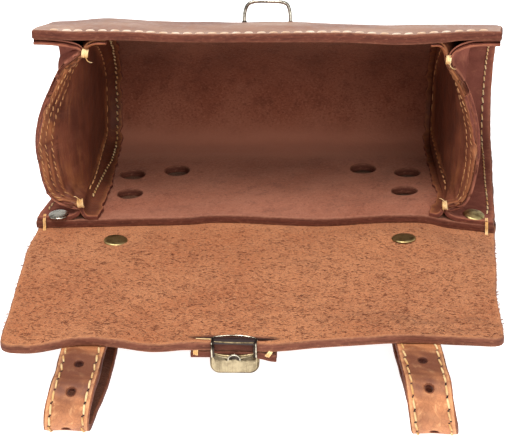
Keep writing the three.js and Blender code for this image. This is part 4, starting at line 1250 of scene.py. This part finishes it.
def gusset_stitching(side):
    piece = Piece()
    left = side == "left"
    seen = -SIGN[side] * -1.0  # which way the inner layer's visible side faces
    z_low, z_high = (14, 88.5) if left else (13.5, 84.5)
    for k, row in enumerate(RIM_ROWS[side]):
        z = np.linspace(z_low + 0.5 * k, z_high - 0.8 * k, 90)
        y = depth_at_rim_distance(side, row, z)
        above = 1.12 + leaf_rise(side, y, z)
        p, beyond = (mirrored(side, web_point(side, -1, y, z, above + more)) for more in (0, 1))
        stitches(piece, p, unit(beyond - p), 3.5, 0.25 if left else 0.2, lift=0.26, gap=1.1, seed=50 + k,
                 slant=0.3, slots=(2, 1), pits=False)
    inner = gusset_place(side, -1)
    outer = gusset_place(side, 1)
    if left:
        s = np.linspace(24, SECTION_LENGTH - 22, 260)
        across = 0.22 + 0.42 * smooth(s, SECTION_LENGTH - 84, SECTION_LENGTH - 26)
        stitches(piece, *sheet_line(inner, seen, s, across), 3.9, 0.46, gap=1.9, seed=60)
    root = sheet_line(inner, seen, np.linspace(58, SECTION_LENGTH - 18, 240), 1.0, above=1.2)
    stitches(piece, *root, 6.4, 0.4, lift=0.28, gap=2.2, seed=61, slots=(2, 1), pits=False)
    flange = sheet_line(outer, -seen, np.linspace(9, SECTION_LENGTH - 9, 300), 0.105)
    stitches(piece, *flange, 4.6, 0.42, gap=1.1, seed=62)
    for k, (x, z) in enumerate(TACKS[side]):
        at = np.array([x, -0.5 - 0.1 * k, z])
        tack(piece, at, (0.12 * (1 - 2 * k), 0.0, 1.0), 4.4, 4 if left else 3, seed=70 + k)
        loose_end(piece, at + (0.6, -0.4, 2.4 if k else -1.5), 0.6 if k else -1.2, seed=74 + k)
    piece.build(f"gusset_stitching_{side}", [CREAM_THREAD, PIT_SHADE, RUBBED_THREAD])


def loose_end(piece, at, fall, seed):
    """Short curled end of thread by a tack."""
    rng = np.random.default_rng(seed)
    turn = rng.uniform(-0.5, 0.5)
    path = [at]
    heading = np.array([rng.uniform(-0.4, 0.4), -0.25, fall])
    for _ in range(5):
        heading = unit(heading + np.array([turn, rng.normal(0, 0.15), rng.normal(0, 0.3)]))
        path.append(path[-1] + heading * 4.5 / 5)
    tube(piece, smooth_path(path, 12), np.linspace(0.24, 0.14, 12), 6)


def tack(piece, centre, along, length, count, spread=0.82, radius=0.5, bulge=1.5, seed=1, slot=0):
    """Bar tack: strands side by side that wrap over an edge and go in at both ends."""
    rng = np.random.default_rng(seed)
    along, into = unit(np.array(along, float)), np.array([0.0, 1.0, 0.0])
    side = unit(np.cross(along, into))
    for n in range(count):
        t = np.linspace(-1, 1, 9)
        offset = (n - (count - 1) / 2) * spread + rng.normal(0, 0.05)
        lean = rng.normal(0, 0.1)
        reach = length / 2 * rng.uniform(0.88, 1.1)
        path = (np.array(centre) + along * (t * reach)[:, None] + side * (offset + lean * t)[:, None]
                + into * (bulge * np.abs(t) ** 3 * 1.4)[:, None])
        tube(piece, path, radius * (1 - 0.25 * t ** 6), 7, slot)


# ---------- pieces of the straps ----------
STRAP_LEATHER = [STRAP_GRAIN, STRAP_SUEDE, STRAP_EDGE]


def strap(side):
    piece = Piece()
    hole_at = [FIRST_STRAP_HOLE + i * STRAP_HOLE_PITCH for i in range(BUCKLE_HOLE + 1)]
    fine = [steps(at - 4, at + 4, 0.5) for at in hole_at]
    us = merged_steps([0, 0.8], steps(1.6, STRAP_LENGTH - 1.6, 1.3), *fine,
                      [STRAP_LENGTH - 0.8, STRAP_LENGTH], least=0.38)
    rim = np.array([4.5, 5.5, 6.5, 7.5, 8.4, 9.2, 10])
    vs = np.concatenate([-rim[::-1], np.linspace(-3.6, 3.6, 15), rim])
    holes = [(at, 0.0, STRAP_HOLE_RADIUS) for at in hole_at]
    pale = 0.1 if side == "right" else -0.05

    # Tone of the strap: a painted shadow of the flap round the strap's front bend, painted shade in the
    # creases round the holes, lighter worn edges, random mottling; the right strap a little paler.
    def tone(along, across):
        flap_shadow = np.exp(-((along - UPPER_LENGTH + 7) / 14) ** 2)
        creases = sum(np.exp(-((along - at) / 5.5) ** 2) for at in hole_at)
        creases = creases * (0.3 + 0.25 * np.sin(across * 1.1))
        return (1.05 * flap_shadow - pale + 0.3 * creases - 0.25 * smooth(np.abs(across), 6, 9)
                + 0.25 * ripple(along * 2, across, 9, 18))

    def dents(along, across):
        return 0.14 * ripple(along, across, 8, 19) - 0.35 * sum(
            np.exp(-((along - at) / 3.2) ** 2 - (across / 3.4) ** 2) for at in hole_at)

    leather(piece, us, vs, strap_place(side), LEATHER, holes, front_relief=dents, tone=tone,
            back_tone=lambda along, across: 0.2 + 0 * along, seed=17)
    piece.build(f"strap_{side}_leather", STRAP_LEATHER, [f"strap_{side}"])


def strap_stitching(side):
    piece = Piece()
    s = np.linspace(16, STRAP_LENGTH - 4, 500)
    for k, across in enumerate((-7.3, 7.3)):
        line = sheet_line(strap_place(side), LEATHER / 2, s, across, eps=(0.1, 0.1))
        stitches(piece, *line, 6.0, 0.46, gap=1.3, seed=90 + k)
    piece.build(f"strap_stitching_{side}", [CREAM_THREAD, PIT_SHADE])


def buckle_tab(side):
    piece = Piece()
    x = STRAP_SWAY[side][0][1]

    def place(reach, across):
        return settle(stack(x + across, -reach, tab_height(side, np.asarray(reach, float))))

    leather(piece, steps(STRAP_START + 2, BUCKLE_REACH + 10, 1.4), steps(-10, 10, 1.5), place, TAB_THICKNESS,
            rounding=0.5, seed=19)
    piece.build(f"buckle_tab_{side}_leather", STRAP_LEATHER, [f"buckle_tab_{side}"])


# ---------- hardware ----------
CAP = [(0.94, 0.0), (1.0, 0.14), (0.99, 0.5), (0.93, 0.8), (0.8, 1.0), (0.5, 1.2), (0.2, 1.3), (0.06, 1.32)]


def rivet(name, at, radius, below, lean, material=BRASS):
    """Flat domed cap, shank and washer, about a point on the upper leather."""
    piece = Piece()
    washer = 0.8 * radius
    profile = [(0.15 * radius, -below - 0.9), (washer * 0.9, -below - 0.9), (washer, -below - 0.6),
               (washer, -below), (1.3, -below), (1.3, 0.0)] + [(r * radius, h) for r, h in CAP]
    lathe(piece, profile, 48)
    p = piece.points[0]
    p += at + stack(0, 0, p[:, 0] * lean[0] + p[:, 1] * lean[1])
    piece.build(name + "_metal", [material], [name])


def rivets():
    for side, x, depth, raised, lean, material in (("left", -106.2, 2.6, 1.9, (0.02, 0.05), NICKEL),
                                                   ("right", 107.9, 5.6, 2.3, (-0.13, 0.1), BRASS)):
        at = settle(stack(x, depth, WALL + raised))
        rivet(f"corner_rivet_{side}", at, 5.4, 13.5, lean, material)
    for side, lean in (("left", (-0.05, 0.03)), ("right", (0.02, -0.04))):
        at = flap_top(STRAP_SWAY[side][0][1], RIVET_REACH, 0.1)
        rivet(f"strap_rivet_{side}", at, 6.1, 10.4, lean)


def staple():
    piece = Piece()
    place, up = front_wall_at(STAPLE["depth"])
    foot = {k: settle(np.array([STAPLE["x"] + k * STAPLE["half"], place[1], place[2]])) for k in (-1, 1)}
    middle = (foot[-1] + foot[1]) / 2

    def at(x, h):
        return lerp(foot[-1], foot[1], (x / STAPLE["half"] + 1) / 2) + up * h

    top = 10.7
    half = [at(11.7 - 5.5, -6.0), at(11.7 - 1.6, -6.0), at(11.75, -5.0), at(11.8, -2.5), at(11.9, 0),
            at(11.7, 4.5), at(11.2, top - 3.6), at(10.2, top - 1.4), at(7.6, top - 0.3), at(4.0, top)]
    other = [2 * np.array([middle[0], 0, 0]) + q * np.array([-1, 1, 1]) for q in half][::-1]
    other = [q + np.array([0.4, 0, 0.25]) if k in (0, 1, 2) else q for k, q in enumerate(other)]
    tube(piece, smooth_path(half + other, 120)[::-1], 0.95, 16)
    # Dark iron collars at the feet: painted shade where the wire goes into the leather.
    for k in (-1, 1):
        foot_top = at(k * 11.85, 0.25)
        collar = [foot_top + up * h for h in (-0.6, 0.0, 0.35, 0.6)]
        tube(piece, collar, np.array([1.35, 1.3, 1.2, 0.9]), 14, slot=1)
    piece.build("staple_wire", [NICKEL, IRON_SHADE], ["staple"])


def patch_place(reach, x):
    v = x / flap_half(np.maximum(reach, 0)) * BACK_HALF_WIDTH
    p = panel_place(np.minimum(reach, 133), v)
    p[..., 1] = -reach
    drop = 1.1 * smooth(reach, 104, 126) + LEATHER / 2 + 1.9
    p[..., 2] -= drop + 1.7 * smooth(x - LOCK_X, 10, 19) * smooth(reach, 105, 128)
    return p


def lock_patch():
    piece = Piece()
    us = merged_steps(steps(PATCH_BACK, 133.6, 1.2))
    vs = steps(LOCK_X - 19.8, LOCK_X + 18.8, 1.2)
    leather(piece, us, vs, patch_place, 3.2, seed=23, edge_noise=0.25)
    for at, lean, length, spread, bulge, seed in (((-22.8, -133.8, -2.6), 0.12, 4.6, 0.72, 1.0, 81),
                                                  ((9.9, -133.8, -3.6), 0.75, 4.2, 0.75, 0.8, 82)):
        tack(piece, at, (lean, 0, 1), length, 3, spread=spread, radius=0.4, bulge=bulge, seed=seed, slot=3)
    piece.build("lock_patch_leather", [BODY_GRAIN, BODY_GRAIN, BODY_EDGE, CREAM_THREAD],
                ["lock_patch"])


def slab(piece, outline, reach_back, reach_front, bulge, bevel, slot=0, bevel_slot=None):
    """Body with an outline in X and Z, bevelled front rim and a front face that bulges across X."""
    centre = outline.mean(0)
    half = np.abs(outline[:, 0] - centre[0]).max()
    ahead = np.roll(outline, -1, 0) - np.roll(outline, 1, 0)
    inward = unit(np.stack([-ahead[:, 1], ahead[:, 0]], -1))

    def ring(points, reach, lift=bulge):
        lifted = lift * (1 - np.clip(np.abs(points[:, 0] - centre[0]) / half, 0, 1) ** 2)
        return stack(points[:, 0], -(reach + lifted), points[:, 1])

    def shrunk(shape, share):
        return centre + (shape - centre) * share

    back = [ring(shape, reach_back, 0) for shape in (shrunk(outline, 0.1), shrunk(outline, 0.6), outline)]
    start = reach_front - bevel
    rim = [ring(outline, start)]
    for angle in np.radians([22, 45, 68, 90]):
        rim.append(ring(outline + inward * bevel * (1 - math.cos(angle)), start + bevel * math.sin(angle)))
    face = [ring(shrunk(outline + inward * bevel, share), reach_front) for share in (0.85, 0.6, 0.35, 0.1)]
    rim_slot = slot if bevel_slot is None else bevel_slot
    rows = [slot] * len(back) + [rim_slot] * (len(rim) - 1) + [slot] * len(face)
    piece.add_rings(np.stack(back + rim + face), slot, wall_slots=np.repeat(rows, len(outline)))


def rounded_outline(half, low, high, radii, dip=0.0, count=9):
    """Rectangle in X and Z with rounded corners, anticlockwise from the lower right; its top may dip."""
    points = []
    corners = ((half, low, radii[0]), (half, high, radii[1]), (-half, high, radii[1]), (-half, low, radii[0]))
    for (cx, cz, r), start in zip(corners, (-90, 0, 90, 180)):
        ox, oz = cx - math.copysign(r, cx), cz + (r if cz == low else -r)
        for angle in np.radians(start + np.linspace(0, 90, count)):
            points.append((ox + r * math.cos(angle), oz + r * math.sin(angle)))
        if cz == high and cx > 0:
            for x in np.linspace(half - r - 1, -half + r + 1, 21):
                points.append((x, high - dip * (1 - (x / half) ** 2)))
    return np.array(points)


def lock():
    piece = Piece()
    # Slots: the bright rim is brass with a painted highlight, the bevel is brass in painted shade, and the
    # dark iron, shade and lip_shade are painted shade.
    metal_face, rim, iron, shade, lip_shade, bevel = range(6)
    x0 = LOCK_X - 0.2
    outline = rounded_outline(11.1, -13.1, -2.7, (4.0, 0.8), dip=1.1) + np.array([x0, 0])
    slab(piece, outline, 108, 133.5, 1.6, 0.9, metal_face, bevel)
    notch = [(-1, -5.9), (-0.9, -4.5), (-0.45, -3.5), (0, -3.3), (0.45, -3.5), (0.9, -4.5), (1, -5.9)]
    tube(piece, smooth_path([(x0 + a * 2.7, -135.3, z) for a, z in notch], 30), 0.34, 10, rim)
    plug = rounded_outline(2.3, -5.7, -3.8, (0.4, 0.6), count=4) + np.array([x0, 0])
    slab(piece, plug, 131, 135.2, 0.0, 0.2, iron)
    slit = LOCK_SLIT["reach"]
    arch = [(-10.2, 2.2, 0.0), (-9.9, 0.9, 0.2), (-8.6, -0.3, 0.3), (-5.5, -1.1, 0.35), (-2, -1.4, 0.4),
            (2, -1.4, 0.4), (5.5, -1.0, 0.35), (8.6, -0.1, 0.25), (9.9, 1.1, 0.15), (10.2, 2.3, 0.0)]
    arch = np.array([flap_top(x0 + x, slit + r, h) for x, r, h in arch])
    tube(piece, smooth_path(arch, 60), 0.36, 10, rim)
    t = np.linspace(-1, 1, 25)
    tube(piece, flap_top(x0 + 9.2 * t, slit - 0.4 * (1 - t ** 2), -1.3), 0.9, 10, shade)

    def lip(reach, x):
        return flap_top(x, reach, 0.25 - 0.5 * smooth(reach, slit + 3.4, slit + 5.4))

    leather(piece, steps(slit + 1.9, FLAP_LENGTH + 0.5, 0.5), steps(x0 - 9.5, x0 + 9.5, 0.8), lip, 0.7,
            slots=(lip_shade,) * 3, rounding=0.2, edge_noise=0.0, seed=25)
    crest = flap_top(x0 + 9.4 * t, FLAP_LENGTH - 0.6 + 0.7 * (1 - t ** 2), 0.15)
    tube(piece, crest, 0.42 - 0.1 * t ** 2, 10, bevel)
    # Each rail: dark iron over the flap, a bright rim round the edge and a dark iron copy beside it, as
    # painted shade and painted highlight.
    for k in (-1, 1):
        x = x0 + k * 9.9
        top = flap_top(x, np.array([slit + 0.6, slit + 3.0, FLAP_LENGTH - 0.4]), 0.3)
        over = np.array([top[-1][0], -(FLAP_LENGTH + 1.4), top[-1][2] - 0.9])
        rail = smooth_path(np.vstack([top, over, over + (0, -0.1, -2.4), (x, -134.9, -4.6)]), 40)
        tube(piece, rail[:17], 0.36, 8, iron)
        tube(piece, rail[15:], 0.38, 8, rim)
        tube(piece, rail + np.array([-k * 0.8, 0.35, -0.1]), 0.42, 8, iron)
    materials = [LOCK_METAL, LOCK_RIM_HIGHLIGHT, IRON_SHADE, SLOT_SHADE, LIP_SHADE, LOCK_BEVEL_SHADE]
    piece.build("lock_metalwork", materials, ["lock_body"])


body_wrap()
back_flap_panel()
flap_nap()
for side in SIGN:
    gusset(side, 1)
    gusset(side, -1)
    gusset_stitching(side)
    strap(side)
    strap_stitching(side)
    buckle_tab(side)
body_stitching()
rivets()
staple()
lock_patch()
lock()

for name in ("buckle_left", "buckle_right"):
    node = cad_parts[name]
    node.data.materials.clear()
    node.data.materials.append(NICKEL)


# ---------- floor, lights and camera ----------
def stage():
    floor_mesh = bpy.data.meshes.new("floor")
    ring = [(4 * math.cos(a), 4 * math.sin(a), 0) for a in np.linspace(0, 2 * math.pi, 64, endpoint=False)]
    floor_mesh.from_pydata(ring, [], [list(range(64))])
    floor = bpy.data.objects.new("floor", floor_mesh)
    bpy.context.scene.collection.objects.link(floor)
    paper = Shader("pale_floor")
    paper.surface.inputs["Emission Strength"].default_value = 0.9
    paper.finish(Base_Color=(0.8, 0.8, 0.8), Roughness=0.9, Emission_Color=(1.0, 1.0, 1.0))
    floor_mesh.materials.append(paper.material)
    world = bpy.data.worlds.new("studio")
    bpy.context.scene.world = world
    world.use_nodes = True
    sky = world.node_tree.nodes["Background"]
    sky.inputs["Color"].default_value = (1, 1, 1, 1)
    sky.inputs["Strength"].default_value = 0.62
    softbox("key", (-0.2, -0.35, 1.3), 0.6, 17)
    softbox("fill", (0.5, -1.1, 0.8), 0.8, 7)
    bpy.context.scene.view_settings.view_transform = "Standard"


def softbox(name, at, size, power):
    light = bpy.data.lights.new(name, "AREA")
    light.size = size
    light.energy = power
    lamp = bpy.data.objects.new(name, light)
    lamp.location = at
    lamp.rotation_mode = "QUATERNION"
    lamp.rotation_quaternion = (Vector(at) - Vector((0, 0, 0.05))).to_track_quat("Z", "Y")
    bpy.context.scene.collection.objects.link(lamp)


# A pinhole camera in the bag's frame, fitted to the projection worked out from the photo.
CAMERA = {
    "at": (54.496, -824.083, 365.957),
    "ahead": (-0.06636492, 0.91320706, -0.40205542),
    "up": (-0.00048122, 0.40291440, 0.91523754),
    "lens": 125.148,
}


def camera():
    data = bpy.data.cameras.new("camera")
    data.lens, data.sensor_width, data.clip_end = CAMERA["lens"], 36.0, 20
    cam = bpy.data.objects.new("camera", data)
    ahead, up = (TURN @ np.array(CAMERA[key]) for key in ("ahead", "up"))
    right = unit(np.cross(ahead, up))
    up = np.cross(right, unit(ahead))
    turn = Matrix(np.stack([right, up, -unit(ahead)], 1).tolist()).to_4x4()
    cam.matrix_world = Matrix.Translation(Vector(to_row(CAMERA["at"]))) @ turn
    bpy.context.scene.collection.objects.link(cam)
    bpy.context.scene.camera = cam


stage()
camera()

bpy.context.view_layer.update()
